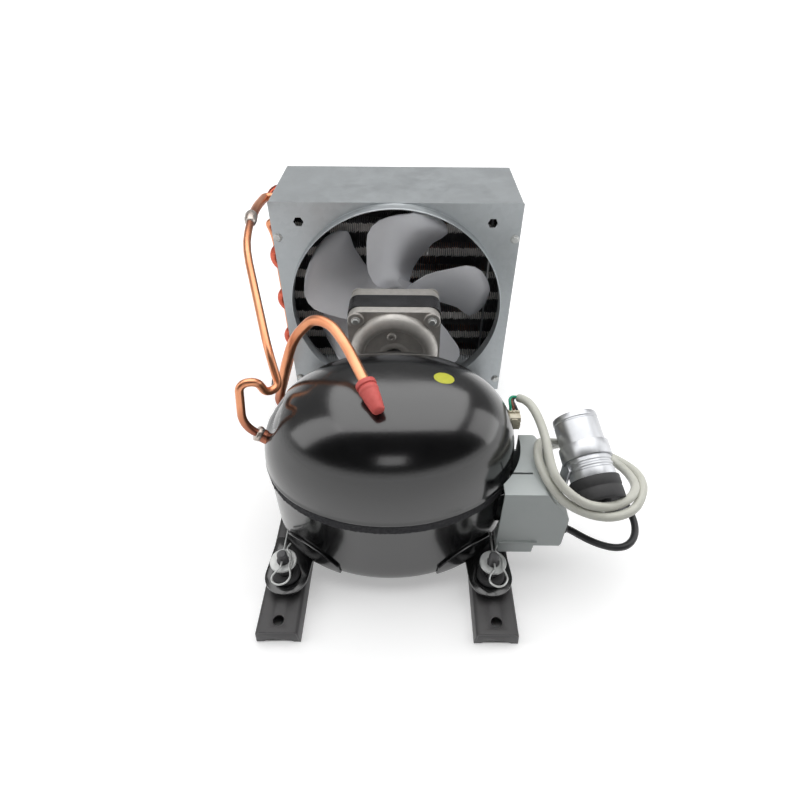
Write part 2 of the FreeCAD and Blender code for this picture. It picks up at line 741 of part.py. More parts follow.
# A clip's route in the horizontal plane, from its stud: a straight leg, an eye and a wavy leg.
CLIP_ROUTE = (
    (0, 25), (0, -8), (-4.6, -14), (-3.6, -20), (2, -23), (7.6, -20), (8.6, -14), (6.2, -7),
    (6.6, 0), (2.8, 7), (4, 12),
)


def clip_piece(across, along):
    middle = point((across, along, "clip_z"))
    places = [middle + Vector(step_x, step_y, 0) for step_x, step_y in CLIP_ROUTE]
    return faceted_bar(places, value("clip_wire_r"), 5)


at_each_foot("mounting_studs", stud_piece)
at_each_foot("rubber_grommets", grommet_piece)
at_each_foot("spacer_sleeves", sleeve_piece)
at_each_foot("retaining_washers", washer_piece)
at_each_foot("hairpin_clips", clip_piece)


# Stubs and refrigerant lines.
def stub(node):
    start, along = stub_axis(node)
    turn = Rotation(Vector(0, 0, 1), along)
    length = point(STUB_ENDS[node][0]).distanceToPoint(point(STUB_ENDS[node][1]))
    place = [str(number) for number in start]
    outside = spun((("stub_r", "-2"), ("stub_r", str(length))), 16, place, turn)
    bore = "(line_r + fit_gap)" if node == "discharge_stub" else "(wide_line_r + fit_gap)"
    return outside.cut(spun(((bore, "-3"), (bore, str(length + 1))), 16, place, turn))


for stub_node in STUB_ENDS:
    finish(feature(stub_node + "_form", stub(stub_node)), stub_node)

DISCHARGE_ROUTE = (
    ("-91", "discharge_y", "discharge_z - 2.25"), ("-110", "discharge_y", "discharge_z + 12"),
    ("-108", "108", "172"), ("-96", "112", "172"), ("-92", "116", "157"),
    ("-84", "124", "157"), ("-92", "140", "181"), ("coil_left - 8", "229", "joint_z - 5"),
    ("coil_left - 12", "270", "joint_z"),
)
SUCTION_ROUTE = (
    ("-85", "suction_y - 2", "suction_z + 1.2"), ("-96.4", "suction_y + 5.6", "suction_z + 2.72"),
    ("-84", "151", "157"), ("-73", "150", "185"), ("-56", "148", "203"), ("-42", "139", "204"),
    ("-31", "124", "199"), ("-21", "106", "191"), ("-11", "86", "183.4"),
)
INLET_ROUTE = (
    ("coil_left - 12.1", "274", "joint_z + 0.2"), ("coil_left - 13.5", "300", "joint_z"),
    ("coil_left - 14.5", "row_front", "tube_top"),
    ("coil_left - bend_reach - 0.1", "row_front", "tube_top"),
)
LIQUID_ROUTE = (
    ("coil_left - bend_reach - 0.1", "row_front", "tube_top - tube_pitch"),
    ("coil_left - 17", "row_front + 2", "tube_top - tube_pitch"),
    ("coil_left - 14.5", "row_front + row_pitch / 2 + 0.4", "176"),
    ("coil_left - 14.5", "row_front + row_pitch / 2 + 0.4", "46"), ("coil_left - 13", "334", "32"),
    ("coil_left - 12", "262", "32"), ("coil_left - 4", "232", "60"), ("coil_left - 3", "222", "80"),
)
finish(line("discharge_line", DISCHARGE_ROUTE, "line_r"), "discharge_tube")
finish(line("suction_line", SUCTION_ROUTE, "wide_line_r"), "suction_tube")
finish(line("inlet_line", INLET_ROUTE, "wide_line_r"), "coil_inlet_tube")
finish(line("liquid_line", LIQUID_ROUTE, "line_r"), "liquid_tube")


def socket_form():
    """The joint's sleeve: one end takes the thin line, the other the wide one."""
    start = point(DISCHARGE_ROUTE[-1])
    along = (point(INLET_ROUTE[0]) - start).normalize()
    turn = Rotation(Vector(0, 0, 1), along)
    place = [str(number) for number in start]
    outside = spun((("joint_r", "-5"), ("joint_r", "joint_len")), 12, place, turn)
    return outside.cut(spun((("wide_line_r + fit_gap + 0.2", "-6"), ("wide_line_r + fit_gap + 0.2", "joint_len + 1")),
                            12, place, turn))


finish(feature("brazed_joint_form", socket_form()), "brazed_joint")


def cap_form(route, radius, collar, tip, length):
    """A rubber cap on a line's last run: a collar, a taper and a blind bore."""
    end = point(route[-1])
    along = (end - point(route[-2])).normalize()
    turn = Rotation(Vector(0, 0, 1), along)
    place = [str(number) for number in end]
    profile = ((collar, "-cap_lap"), (collar, "-cap_lap + 4"), (f"{collar} - 1.2", "-cap_lap + 4.5"), (tip, length))
    bore = f"({radius} + fit_gap)"
    return spun(profile, 16, place, turn).cut(
        spun(((bore, "-cap_lap - 1"), (bore, "fit_gap")), 16, place, turn)
    )


finish(feature("suction_cap_form", cap_form(SUCTION_ROUTE, "wide_line_r", "7.35", "4.6", "16")), "suction_cap")
finish(feature("liquid_cap_form", cap_form(LIQUID_ROUTE, "line_r", "line_r + cap_wall + 1.2",
                                           "line_r + 0.4", "4")), "liquid_cap")

# Terminals, relay and their cover on the compressor's right.
def shell_side(grow):
    """Everything that stands too close to either shell."""
    low = bowl_form(grow, value("shell_floor") - grow)
    thick = value("fit_gap + shell_gauge") + grow
    high = dome_form(thick, value("dome_top") + grow)
    skirt = wall_form(thick, value("seam_z - seam_lap - weld_tall") - grow, value("seam_z"))
    return low.fuse(high).fuse(skirt)


def fence():
    """A rectangular frame welded round the terminal on the lower shell."""
    wide, tall, wall = value("fence_wide"), value("fence_tall"), value("cover_wall")
    corner = point(("terminal_r * 5", "terminal_y - fence_wide / 2", "terminal_z - fence_tall / 2"))
    reach = value("fence_right") - corner.x
    outside = Part.makeBox(reach, wide, tall, corner)
    inside = Part.makeBox(reach + 2, wide - 2 * wall, tall - 2 * wall, corner + Vector(-1, wall, wall))
    return outside.cut(inside).cut(bowl_form(value("fit_gap"), value("shell_floor - fit_gap")))


def relay_cover():
    """A shallow moulded box, open towards the shell, its front outline stepped and bevelled."""
    owner = body("relay_cover_body")
    front = sketch_front(owner, "cover_outline", "cover_front")
    outline(front, (
        ("cover_left", "cover_low"), ("cover_step_right", "cover_low"),
        ("cover_step_right", "cover_low + cover_step"), ("cover_right", "cover_low + cover_step"),
        ("cover_right", "cover_top - cover_bevel"), ("cover_right - cover_bevel_run", "cover_top"),
        ("cover_left", "cover_top"),
    ))
    solid = pad(owner, front, "cover_deep", backwards=True)
    corner = point(("cover_right", "cover_front", "cover_low + cover_step"))
    fillet_edges(owner, solid, "cover_round", lambda edge: runs_along(edge, Vector(0, 1, 0)) and
                 edge.BoundBox.Center.sub(corner).cross(Vector(0, 1, 0)).Length < 0.1)
    hollow = sketch_front(owner, "cover_hollow", "cover_front + cover_wall")
    outline(hollow, (
        ("cover_left - 1", "cover_low + cover_wall"), ("cover_step_right - cover_wall", "cover_low + cover_wall"),
        ("cover_step_right - cover_wall", "cover_low + cover_step + cover_wall"),
        ("cover_right - cover_wall - cover_round / 2", "cover_low + cover_step + cover_wall"),
        ("cover_right - cover_wall", "cover_low + cover_step + cover_wall + cover_round / 2"),
        ("cover_right - cover_wall", "cover_top - cover_bevel - 1"),
        ("cover_right - cover_bevel_run - 1", "cover_top - cover_wall"),
        ("cover_left - 1", "cover_top - cover_wall"),
    ))
    pocket(owner, hollow, "cover_deep - 2 * cover_wall")
    gland = spun((("gland_r + 1", "-1"), ("gland_r + 1", "3")), 12, ("cover_right", "64", "66"), ALONG_X)
    hole = spun((("gland_r - 1", "-6"), ("gland_r - 1", "6")), 12, ("cover_right", "64", "66"), ALONG_X)
    doc.recompute()
    return feature("relay_cover_form", owner.Shape.fuse(gland).cut([shell_side(value("cover_clear")), hole]))


def terminal():
    """A glass-sealed disc with three pins."""
    place = ("shell_a - 12", "terminal_y", "terminal_z")
    turn = TO_RIGHT
    whole = spun((("terminal_r", "0"), ("terminal_r", "14")), 16, place, turn)
    for up, along in (("5", "0"), ("-3.5", "5"), ("-3.5", "-5")):
        pin = ("shell_a + 1", f"terminal_y + {along}", f"terminal_z + {up}")
        whole = whole.fuse(spun((("1.6", "0"), ("1.6", "pin_end - shell_a - 1")), 8, pin, turn))
    return whole


finish(feature("fence_form", fence()), "terminal_fence")
finish(feature("terminal_form", terminal()), "hermetic_terminal")
finish(relay_cover(), "relay_cover")
RELAY = ("pin_end + fit_gap", "terminal_y - 15", "cover_low + cover_step + cover_wall + round_gap")
finish(feature("relay_block", Part.makeBox(16, 30, 22, point(RELAY))), "start_relay")
finish(feature("protector_form", spun((("10", "0"), ("10", "12"), ("7", "14")), 16,
                                      ("pin_end - 2", "terminal_y - 6", f"{RELAY[2]} + 22 + 10"),
                                      TO_RIGHT)), "overload_protector")
CONNECTOR = ("98.8", "119", "118")
finish(feature("connector_block", Part.makeBox(11, 11, 12, point(CONNECTOR))), "wire_connector")


BOOT_TAIL = (("166", "75", "84"), ("173", "70", "73"), ("194", "88", "66"))
SUPPLY_ROUTE = (
    ("102", "140", "136"), ("110", "124", "145"), ("117", "96", "140"), ("122", "78", "128"),
    ("131", "63", "126"), ("147", "52", "loop_z + 24"), ("168", "50", "loop_z + 18"),
)
CAPACITOR_ROUTE = (
    ("cover_right - 5", "64", "66"), ("147", "62.5", "64.5"), ("163", "50", "61"), ("182", "43", "57.5"),
    ("200", "52", "57"), ("206", "70", "59"), BOOT_TAIL[-1],
)


# Run capacitor: the can leans back over the relay cover in a clamp, its lower end in a rubber boot.
CAN_AXIS = Rotation(Vector(0, 0, 1), value("can_turn")).multiply(Rotation(Vector(1, 0, 0), -value("can_tilt")))
CAN_SPOT = ("can_x", "can_y", "can_z")


def capacitor_boot():
    low = "-can_len / 2"
    outside = spun((("can_r + boot_wall - 2", f"{low} + boot_lap - boot_len"),
                    ("can_r + boot_wall", f"{low} + boot_lap - boot_len + 3"),
                    ("can_r + boot_wall", f"{low} + boot_lap")), 24, CAN_SPOT, CAN_AXIS)
    inside = spun((("can_r - 1.5", f"{low} + boot_lap - boot_len + boot_wall"), ("can_r - 1.5", f"{low} - fit_gap"),
                   ("can_r + fit_gap", f"{low} - fit_gap"), ("can_r + fit_gap", f"{low} + boot_lap + 1")),
                  24, CAN_SPOT, CAN_AXIS)
    tail = faceted_bar([point(place) for place in BOOT_TAIL], value("boot_tail_r"), 8)
    last_bend = [point(place) for place in CAPACITOR_ROUTE[-4:]]
    socket = faceted_bar(bar_stations(last_bend, math.radians(18)), value("black_cable_r + round_gap"), 12)
    return outside.cut(inside).fuse(tail.cut(outside)).cut(socket)


def capacitor_bracket():
    """A clamp round the can with a tongue that lies against the relay cover's right side."""
    half = "clamp_len / 2"
    band = spun((("can_r + clamp_wall", f"-{half}"), ("can_r + clamp_wall", half)), 24, CAN_SPOT, CAN_AXIS)
    tongue = Part.makeBox(value("clamp_wall"), 16, 44, point(("cover_right + fit_gap", "can_y - 17", "66")))
    clear = spun((("can_r + fit_gap", "-can_len"), ("can_r + fit_gap", "can_len")), 24, CAN_SPOT, CAN_AXIS)
    return band.fuse(tongue).cut(clear)


finish(feature("can_form", spun((("can_r - 2", "-can_len / 2"), ("can_r", "-can_len / 2 + 1"),
                                 ("can_r", "can_len / 2 - 3"), ("can_r - 3", "can_len / 2")),
                                24, CAN_SPOT, CAN_AXIS)), "capacitor_can")
finish(feature("boot_form", capacitor_boot()), "capacitor_boot")
finish(feature("bracket_form", capacitor_bracket()), "capacitor_bracket")

# Cables.
def cable(name, places, radius):
    """A cable along straight runs and tangent arcs; its bends and volume are printed."""
    spots = [point(place) for place in places]
    path, radii = bent_wire(spots)
    shape = faceted_bar(bar_stations(spots, math.radians(18)), value(radius), 12)
    ratio = shape.Volume / (math.pi * value(radius) ** 2 * path.Length)
    print(f"{name}: length {path.Length:.1f}, smallest bend {min(radii):.1f}, volume ratio {ratio:.3f}")
    return feature(name, shape)


finish(cable("supply_cord", SUPPLY_ROUTE, "supply_r"), "supply_cable")
finish(cable("capacitor_cord", CAPACITOR_ROUTE, "black_cable_r"), "capacitor_cable")


def cable_loops():
    """The supply cable's turns round the capacitor, tied into one ring."""
    middle = point(("can_x + 7.5", "can_y - 9", "loop_z"))
    slope = Vector(value("loop_slope"), value("loop_dip"), 0)
    steps = 24
    rings = []
    for step in range(steps):
        angle = 2 * math.pi * step / steps
        arm = Vector(math.cos(angle), math.sin(angle), 0)
        corners = []
        for side in range(8):
            turn = 2 * math.pi * side / 8
            reach = value("loop_r") + value("loop_band_r") * math.cos(turn)
            lift = value("loop_band_r") * math.sin(turn) - slope.dot(arm) * reach
            corners.append(middle + arm * reach + Vector(0, 0, lift))
        rings.append(corners)
    return joined_rings(rings, closed=True)


def core_wires():
    """Three short cores from the connector to the end of the cable's jacket."""
    pieces = []
    for step in (-1, 0, 1):
        start = point((f"104.3 + {step} * 3", "130.1", "124"))
        end = point((f"101.6 + {step} * 2", "141.4", "136.1"))
        places = [start, start + Vector(0, 9, 0), Vector(end.x, 144, 130), end]
        pieces.append(faceted_bar(places, value("core_wire_r"), 6))
    return Part.makeCompound(pieces)


finish(feature("loops_form", cable_loops()), "supply_cable_loops")
finish(feature("wires_form", core_wires()), "core_wires")


# Shroud: an open-backed box with a round fan opening, a collar and a window for the return bends.
def shroud():
    owner = body("shroud_body")
    front = sketch_front(owner, "shroud_outline", "shroud_front")
    rectangle(front, "shroud_left", "rail_tall", "shroud_right", "shroud_top")
    pad(owner, front, "shroud_deep", backwards=True)
    hollow = sketch_front(owner, "shroud_hollow", "shroud_front + shroud_gauge")
    rectangle(hollow, "shroud_left + shroud_gauge", "rail_tall + shroud_gauge", "shroud_right - shroud_gauge",
              "shroud_top - shroud_gauge")
    pocket(owner, hollow, "shroud_deep")
    doc.recompute()
    front, back = "shroud_front - collar_len", "shroud_front + shroud_gauge"
    collar = on_axis((("collar_r", front), ("collar_r", "shroud_front + shroud_gauge / 2")), 56)
    tools = [on_axis((("collar_r - shroud_gauge", f"{front} - 1"), ("collar_r - shroud_gauge", f"{back} + 1")), 56)]
    for side in (-1, 1):
        spot = (f"fan_x + {side} * hex_hole_x", "shroud_front - 1", "hex_hole_z")
        tools.append(spun((("hex_hole_r", "0"), ("hex_hole_r", "shroud_gauge + 2")), 6, spot,
                          TO_REAR))
    for place in screw_places():
        tools.append(spun((("screw_r + fit_gap", "-1"), ("screw_r + fit_gap", "shroud_gauge + 1")), 8, place,
                          TO_REAR))
    tools.append(Part.makeBox(value("shroud_gauge + 2"), value("window_deep"), value("window_tall"),
                              point(("shroud_left - 1", "row_front - window_deep / 3.6", "window_low"))))
    return owner.Shape.fuse(collar).cut(tools)


def screw_places():
    return [(f"shroud_mid + {side} * panel_screw_x", "shroud_front", height)
            for side in (-1, 1) for height in ("panel_screw_high", "panel_screw_low")]


def shroud_screws():
    profile = (("screw_head_r - 1", "-screw_head"), ("screw_head_r", "-screw_head + 1"), ("screw_head_r", "-fit_gap"),
               ("screw_r", "-fit_gap"), ("screw_r", "6"))
    turn = TO_REAR
    return Part.makeCompound([spun(profile, 8, place, turn) for place in screw_places()])


finish(feature("shroud_form", shroud()), "shroud")
finish(feature("shroud_screws_form", shroud_screws()), "shroud_screws")


# Finned coil: two rows of tubes through a block of fins between two end plates.
def tube_z(row):
    return f"tube_top - {row} * tube_pitch"


def coil_bores(radius, left, length):
    turn = TO_RIGHT
    return [spun(((radius, "0"), (radius, length)), 8, (left, along, tube_z(row)), turn)
            for along in ("row_front", "row_rear") for row in range(TUBE_ROWS)]


def fin_pack():
    left, right = "coil_left + 0.3 + plate_gauge + fit_gap", "coil_right - fit_gap"
    low, high = "tube_low - fin_margin", "fin_high"
    block = Part.makeBox(value(f"{right} - ({left})"), value("fin_back - fin_front"), value(f"{high} - ({low})"),
                         point((left, "fin_front", low)))
    count = int(value(f"{right} - ({left})") // value("fin_pitch"))
    tools = coil_bores("tube_r + fit_gap", f"{left} - 1", f"{right} - ({left}) + 2")
    for step in range(count):
        start = f"{left} + ({step} + 0.5) * fin_pitch"
        for along in ("fin_front - 1", "fin_back - fin_groove"):
            tools.append(Part.makeBox(value("fin_slot"), value("fin_groove + 1"), value(f"{high} - ({low}) + 2"),
                                      point((start, along, f"{low} - 1"))))
    return block.cut(tools)


def end_plate(left):
    plate = Part.makeBox(value("plate_gauge"), value("fin_back - fin_front + 8"), value("fin_high - coil_floor"),
                         point((left, "fin_front - 4", "coil_floor")))
    return plate.cut(coil_bores("tube_r + fit_gap", f"{left} - 1", "plate_gauge + 2"))


def coil_ends(side):
    if side < 0:
        return "(coil_left + 0.3 - bend_reach)"
    return "(coil_right + plate_gauge + bend_reach)"


def return_bends(side, pairs):
    """Hairpin bends between tubes that are given as row letter and number."""
    pieces = []
    start = value(f"{coil_ends(side)} + {side} * fit_gap")
    for first, second in pairs:
        ends = [point(("0", "row_front" if name[0] == "F" else "row_rear", tube_z(name[1:]))) for name in (first, second)]
        middle = (ends[0] + ends[1]) * 0.5
        arm = ends[0] - middle
        stations = []
        for step in range(5):
            angle = math.pi * step / 4
            outward = Vector(side * arm.Length * math.sin(angle), 0, 0)
            stations.append(Vector(start, 0, 0) + middle + arm * math.cos(angle) + outward)
        stations = [stations[0], *chord_corners(stations, Vector(side, 0, 0)), stations[-1]]
        pieces.append(faceted_bar(stations, value("tube_r"), 8))
    return Part.makeCompound(pieces)


def chord_corners(stations, outward):
    """Corners of a polyline round a half circle whose first and last runs are square to its ends."""
    middle = (stations[0] + stations[-1]) * 0.5
    arm = stations[0] - middle
    reach = arm.Length
    corners = []
    for step in range(4):
        angle = math.pi * (2 * step + 1) / 8
        stretch = 1 / math.cos(math.pi / 8)
        corners.append(middle + (arm * math.cos(angle) + outward * reach * math.sin(angle)) * stretch)
    return corners


LEFT_BENDS = (("R0", "R1"), ("R2", "R3"), ("R4", "R5"), ("R6", "R7"), ("F7", "F6"), ("F5", "F4"), ("F3", "F2"))
RIGHT_BENDS = (
    ("F0", "R0"), ("R1", "R2"), ("R3", "R4"), ("R5", "R6"), ("R7", "F7"), ("F6", "F5"), ("F4", "F3"), ("F2", "F1"),
)
finish(feature("fins_form", fin_pack()), "fin_pack")
finish(feature("plate_left_form", end_plate("coil_left + 0.3")), "end_plate_left")
finish(feature("plate_right_form", end_plate("coil_right")), "end_plate_right")
finish(feature("tubes_form", Part.makeCompound(coil_bores("tube_r", coil_ends(-1), f"{coil_ends(1)} - {coil_ends(-1)}"))),
       "coil_tubes")
finish(feature("bends_left_form", return_bends(-1, LEFT_BENDS)), "return_bends_left")
finish(feature("bends_right_form", return_bends(1, RIGHT_BENDS)), "return_bends_right")


# Fan motor: square covers on a square stack, held by four tie screws.
MOTOR_CORNER = 3


def tie_places():
    return [(f"fan_x + {side} * tie_screw_at", f"fan_z + {up} * tie_screw_at") for side in (-1, 1) for up in (-1, 1)]


def square_slice(name, start, length, bore):
    """A rounded square slice of the motor with its four tie holes and a round bore."""
    owner = body(name)
    face = sketch_front(owner, name + "_outline", start)
    corners = []
    for quarter in range(4):
        for step in range(MOTOR_CORNER + 1):
            angle = 90 * (quarter + step / MOTOR_CORNER)
            side = 1 if quarter in (0, 3) else -1
            up = 1 if quarter in (0, 1) else -1
            corners.append((
                f"fan_x + {side} * (motor_half - motor_round) + motor_round * cos({angle} deg)",
                f"fan_z + {up} * (motor_half - motor_round) + motor_round * sin({angle} deg)",
            ))
    outline(face, corners)
    pad(owner, face, length, backwards=True)
    doc.recompute()
    holes = [spun((("tie_screw_r + fit_gap", f"{start} - 1"), ("tie_screw_r + fit_gap", f"{start} + {length} + 1")),
                  8, (across, "0", up), TO_REAR) for across, up in tie_places()]
    holes.append(on_axis(((bore, f"{start} - 1"), (bore, f"{start} + {length} + 1"))))
    return owner, holes


def motor_front_cover():
    owner, holes = square_slice("front_cover", "motor_front", "motor_flange", "drum_r - motor_wall")
    drum = on_axis((("bearing_r + motor_wall", "motor_front - drum_len - boss_len"),
                    ("bearing_r + motor_wall", "motor_front - drum_len"), ("drum_r - 2", "motor_front - drum_len"),
                    ("drum_r", "motor_front - drum_len + 2"), ("drum_r", "motor_front + 2")), 24)
    hollow = on_axis((("bearing_r", "motor_front - drum_len - boss_len - 1"),
                      ("bearing_r", "motor_front - drum_len + motor_wall"),
                      ("drum_r - motor_wall", "motor_front - drum_len + motor_wall"),
                      ("drum_r - motor_wall", "stack_front + 1")), 24)
    return owner.Shape.cut(holes).fuse(drum).cut(hollow)


def motor_rear_cover():
    owner, holes = square_slice("rear_cover", "stack_back", "motor_rear_len", "bearing_r")
    hollow = on_axis((("drum_r - motor_wall", "stack_back - 1"), ("drum_r - motor_wall", "motor_back - motor_wall")), 24)
    boss = on_axis((("bearing_r + motor_wall", "motor_back - 1"), ("bearing_r + motor_wall", "motor_back + boss_len")))
    bore = on_axis((("bearing_r", "stack_back - 1"), ("bearing_r", "motor_back + boss_len + 1")))
    return owner.Shape.cut([*holes, hollow]).fuse(boss).cut(bore)


def motor_laminations():
    owner, holes = square_slice("stack", "stack_front", "motor_stack", "stator_bore_r")
    for side in (-1, 1):
        holes.append(spun((("stand_bolt_r - 0.5 + fit_gap", "motor_low - 1"), ("stand_bolt_r - 0.5 + fit_gap", "motor_low + 7")),
                          8, (f"fan_x + {side} * stand_half / 2", "stand_y", "0")))
    return owner.Shape.cut(holes)


def motor_windings():
    """A ring of wound ends at each side of the stack."""
    rings = []
    for start, end in (("stack_front - winding_len", "stack_front - fit_gap"),
                       ("stack_back + fit_gap", "stack_back + winding_len")):
        outside = on_axis((("drum_r - motor_wall - 1", start), ("drum_r - motor_wall - 1", end)), 16)
        rings.append(outside.cut(on_axis((("stator_bore_r + 1", f"{start} - 1"), ("stator_bore_r + 1", f"{end} + 1")), 16)))
    return Part.makeCompound(rings)


def motor_screws():
    profile = (("tie_screw_r + 1.8", "motor_front - fit_gap - 2.4"), ("tie_screw_r + 1.8", "motor_front - fit_gap"),
               ("tie_screw_r", "motor_front - fit_gap"), ("tie_screw_r", "motor_back + 3"))
    return Part.makeCompound([spun(profile, 8, (across, "0", up), TO_REAR) for across, up in tie_places()])


def motor_bearings():
    pieces = []
    for start, end in (("motor_front - drum_len - boss_len", "motor_front - drum_len + motor_wall"),
                       ("motor_back - motor_wall", "motor_back + boss_len")):
        outside = on_axis((("bearing_r - fit_gap", start), ("bearing_r - fit_gap", end)), 16)
        bore = Part.makeCylinder(value("shaft_r + run_gap"), 60, point(("fan_x", f"{start} - 1", "fan_z")), Vector(0, 1, 0))
        pieces.append(outside.cut(bore))
    return Part.makeCompound(pieces)


def motor_shaft():
    start = point(("fan_x", "motor_front - drum_len - boss_len + 1", "fan_z"))
    return Part.makeCylinder(value("shaft_r"), value("hub_front + hub_len") - start.y, start, Vector(0, 1, 0))


def motor_rotor():
    solid = on_axis((("rotor_r - 1", "stack_front - 2"), ("rotor_r", "stack_front - 1"), ("rotor_r", "stack_back + 1"),
                     ("rotor_r - 1", "stack_back + 2")), 24)
    bore = point(("fan_x", "stack_front - 5", "fan_z"))
    return solid.cut(Part.makeCylinder(value("shaft_r + press_gap"), 60, bore, Vector(0, 1, 0)))


finish(feature("front_cover_form", motor_front_cover()), "motor_front_cover")
finish(feature("laminations_form", motor_laminations()), "motor_laminations")
finish(feature("rear_cover_form", motor_rear_cover()), "motor_rear_cover")
finish(feature("windings_form", motor_windings()), "motor_windings")
finish(feature("motor_screws_form", motor_screws()), "motor_screws")
finish(feature("bearings_form", motor_bearings()), "motor_bearings")
finish(feature("shaft_form", motor_shaft()), "motor_shaft")
finish(feature("rotor_form", motor_rotor()), "motor_rotor")


# Motor stand: a strap across the rails that rises into a bridge under the motor.
def motor_stand():
    owner = body("stand_body")
    front = sketch_front(owner, "stand_outline", "stand_y - stand_deep / 2")
    left, right = "fan_x - stand_half", "fan_x + stand_half"
    low, top = "rail_tall", "motor_low"
    reach = "(rail_pitch / 2 + stand_end)"
    outline(front, (
        (f"-{reach}", low), (f"{left} + stand_gauge", low), (f"{left} + stand_gauge", f"{top} - stand_gauge"),
        (f"{right} - stand_gauge", f"{top} - stand_gauge"), (f"{right} - stand_gauge", low), (reach, low),
        (reach, f"{low} + stand_gauge"), (right, f"{low} + stand_gauge"), (right, top), (left, top),
        (left, f"{low} + stand_gauge"), (f"-{reach}", f"{low} + stand_gauge"),
    ))
    pad(owner, front, "stand_deep", backwards=True)
    doc.recompute()
    holes = [spun(((radius, low), (radius, high)), 8, (across, "stand_y", "0")) for across, radius, low, high in bolt_places()]
    return owner.Shape.cut(holes)


def bolt_places():
    """Axis, hole radius and span of each of the stand's bolts."""
    rails = [(f"{side} * rail_pitch / 2", "stand_bolt_r + fit_gap", "rail_tall - 1", "rail_tall + stand_gauge + 1")
             for side in (-1, 1)]
    bridge = [(f"fan_x + {side} * stand_half / 2", "stand_bolt_r - 0.5 + fit_gap", "motor_low - stand_gauge - 1",
               "motor_low + 1") for side in (-1, 1)]
    return rails + bridge


def stand_bolts():
    head, tall, gap = "stand_bolt_r + 2.2", "2.6", "fit_gap"
    seat, web = "rail_tall + stand_gauge", "rail_tall - rail_gauge"
    profile = ((head, f"{web} - {gap} - {tall}"), (head, f"{web} - {gap}"), ("stand_bolt_r", f"{web} - {gap}"),
               ("stand_bolt_r", f"{seat} + {gap}"), (head, f"{seat} + {gap}"), (head, f"{seat} + {gap} + {tall}"))
    pieces = [spun(profile, 8, (f"{side} * rail_pitch / 2", "stand_y", "0")) for side in (-1, 1)]
    under = "motor_low - stand_gauge"
    profile = ((head, f"{under} - {gap} - {tall}"), (head, f"{under} - {gap}"), ("stand_bolt_r - 0.5", f"{under} - {gap}"),
               ("stand_bolt_r - 0.5", "motor_low + 6"))
    pieces += [spun(profile, 8, (f"fan_x + {side} * stand_half / 2", "stand_y", "0")) for side in (-1, 1)]
    return Part.makeCompound(pieces)


finish(feature("stand_form", motor_stand()), "motor_stand")
finish(feature("stand_bolts_form", stand_bolts()), "stand_bolts")


# Fan: pressed blades twisted like a screw's flights, riveted to the hub's disc.
# Each blade's edges in degrees round the axis, at shares of the tip radius.
BLADE_SHARES = (0.19, 0.38, 0.59, 0.8, 0.93, 1.0)
BLADE_LEADING = (60, 65, 65, 64, 62, 70)
BLADE_TRAILING = (120, 124, 124, 116, 106, 96)
BLADE_COLUMNS = 5


def blade_place(share, spot, leading, trailing):
    """A place on the blade, in the fan's own frame: X across, Z up, Y towards the coil."""
    angle = math.radians(leading + spot * (trailing - leading))
    radius = share * value("fan_r")
    depth = value("fan_pitch_depth") * share
    bow = value("fan_camber") * 4 * spot * (1 - spot) * share
    return Vector(radius * math.cos(angle), (0.5 - spot) * depth - bow, radius * math.sin(angle))


def blade():
    """A sheet blade between two faceted surfaces that lie one gauge apart."""
    columns = [step / (BLADE_COLUMNS - 1) for step in range(BLADE_COLUMNS)]
    front = [[blade_place(share, spot, leading, trailing) for spot in columns]
             for share, leading, trailing in zip(BLADE_SHARES, BLADE_LEADING, BLADE_TRAILING)]
    gauge = Vector(0, value("fan_gauge"), 0)
    back = [[place + gauge for place in row] for row in front]
    rows, last = len(front), BLADE_COLUMNS - 1
    rim = [(0, column) for column in range(last)] + [(row, last) for row in range(rows - 1)]
    rim += [(rows - 1, column) for column in range(last, 0, -1)] + [(row, 0) for row in range(rows - 1, 0, -1)]
    loops = []
    for grid in (front, back):
        for row in range(rows - 1):
            for column in range(last):
                low, high = grid[row], grid[row + 1]
                loops.append((low[column], low[column + 1], high[column + 1]))
                loops.append((low[column], high[column + 1], high[column]))
    for (row, column), (next_row, next_column) in zip(rim, rim[1:] + rim[:1]):
        start, end = front[row][column], front[next_row][next_column]
        loops.append((start, end, end + gauge, start + gauge))
    faces = [Part.Face(Part.makePolygon([*loop, loop[0]])) for loop in loops]
    solid = Part.Solid(Part.makeShell(faces))
    if solid.Volume < 0:
        solid.reverse()
    return solid


def fan():
    disc = spun((("fan_disc_r", "0"), ("fan_disc_r", "fan_gauge * 1.5")), 24, ("0", "0", "0"), TO_REAR)
    wheel = disc
    for step in range(FAN_BLADES):
        copy = blade()
        copy.rotate(Vector(), Vector(0, 1, 0), 360 * step / FAN_BLADES)
        wheel = wheel.fuse(copy)
    wheel.translate(point(("fan_x", "fan_y", "fan_z")))
    hole = on_axis((("hub_r + fit_gap", "fan_y - 30"), ("hub_r + fit_gap", "fan_y + 30")), 16)
    return wheel.cut(hole)


def fan_hub():
    """A hub with a flange that carries the blades' disc."""
    profile = (("hub_r - 1", "hub_front"), ("hub_r", "hub_front + 1"), ("hub_r", "fan_y - 1.5 - fit_gap"),
               ("hub_r + 6", "fan_y - 1.5 - fit_gap"), ("hub_r + 6", "fan_y - fit_gap"), ("hub_r", "fan_y - fit_gap"),
               ("hub_r", "fan_y + fan_gauge * 1.5 + 2"))
    bore = Part.makeCylinder(value("shaft_r + press_gap"), 60, point(("fan_x", "hub_front - 5", "fan_z")), Vector(0, 1, 0))
    return on_axis(profile, 16).cut(bore)


finish(feature("fan_form", fan()), "fan_blade")
finish(feature("hub_form", fan_hub()), "fan_hub")


# Inside the compressor: a sprung motor with the pump's block, crank, rod and piston on top.
def on_crank(profile, sides=20):
    return spun(profile, sides, ("0", "shell_y", "0"))


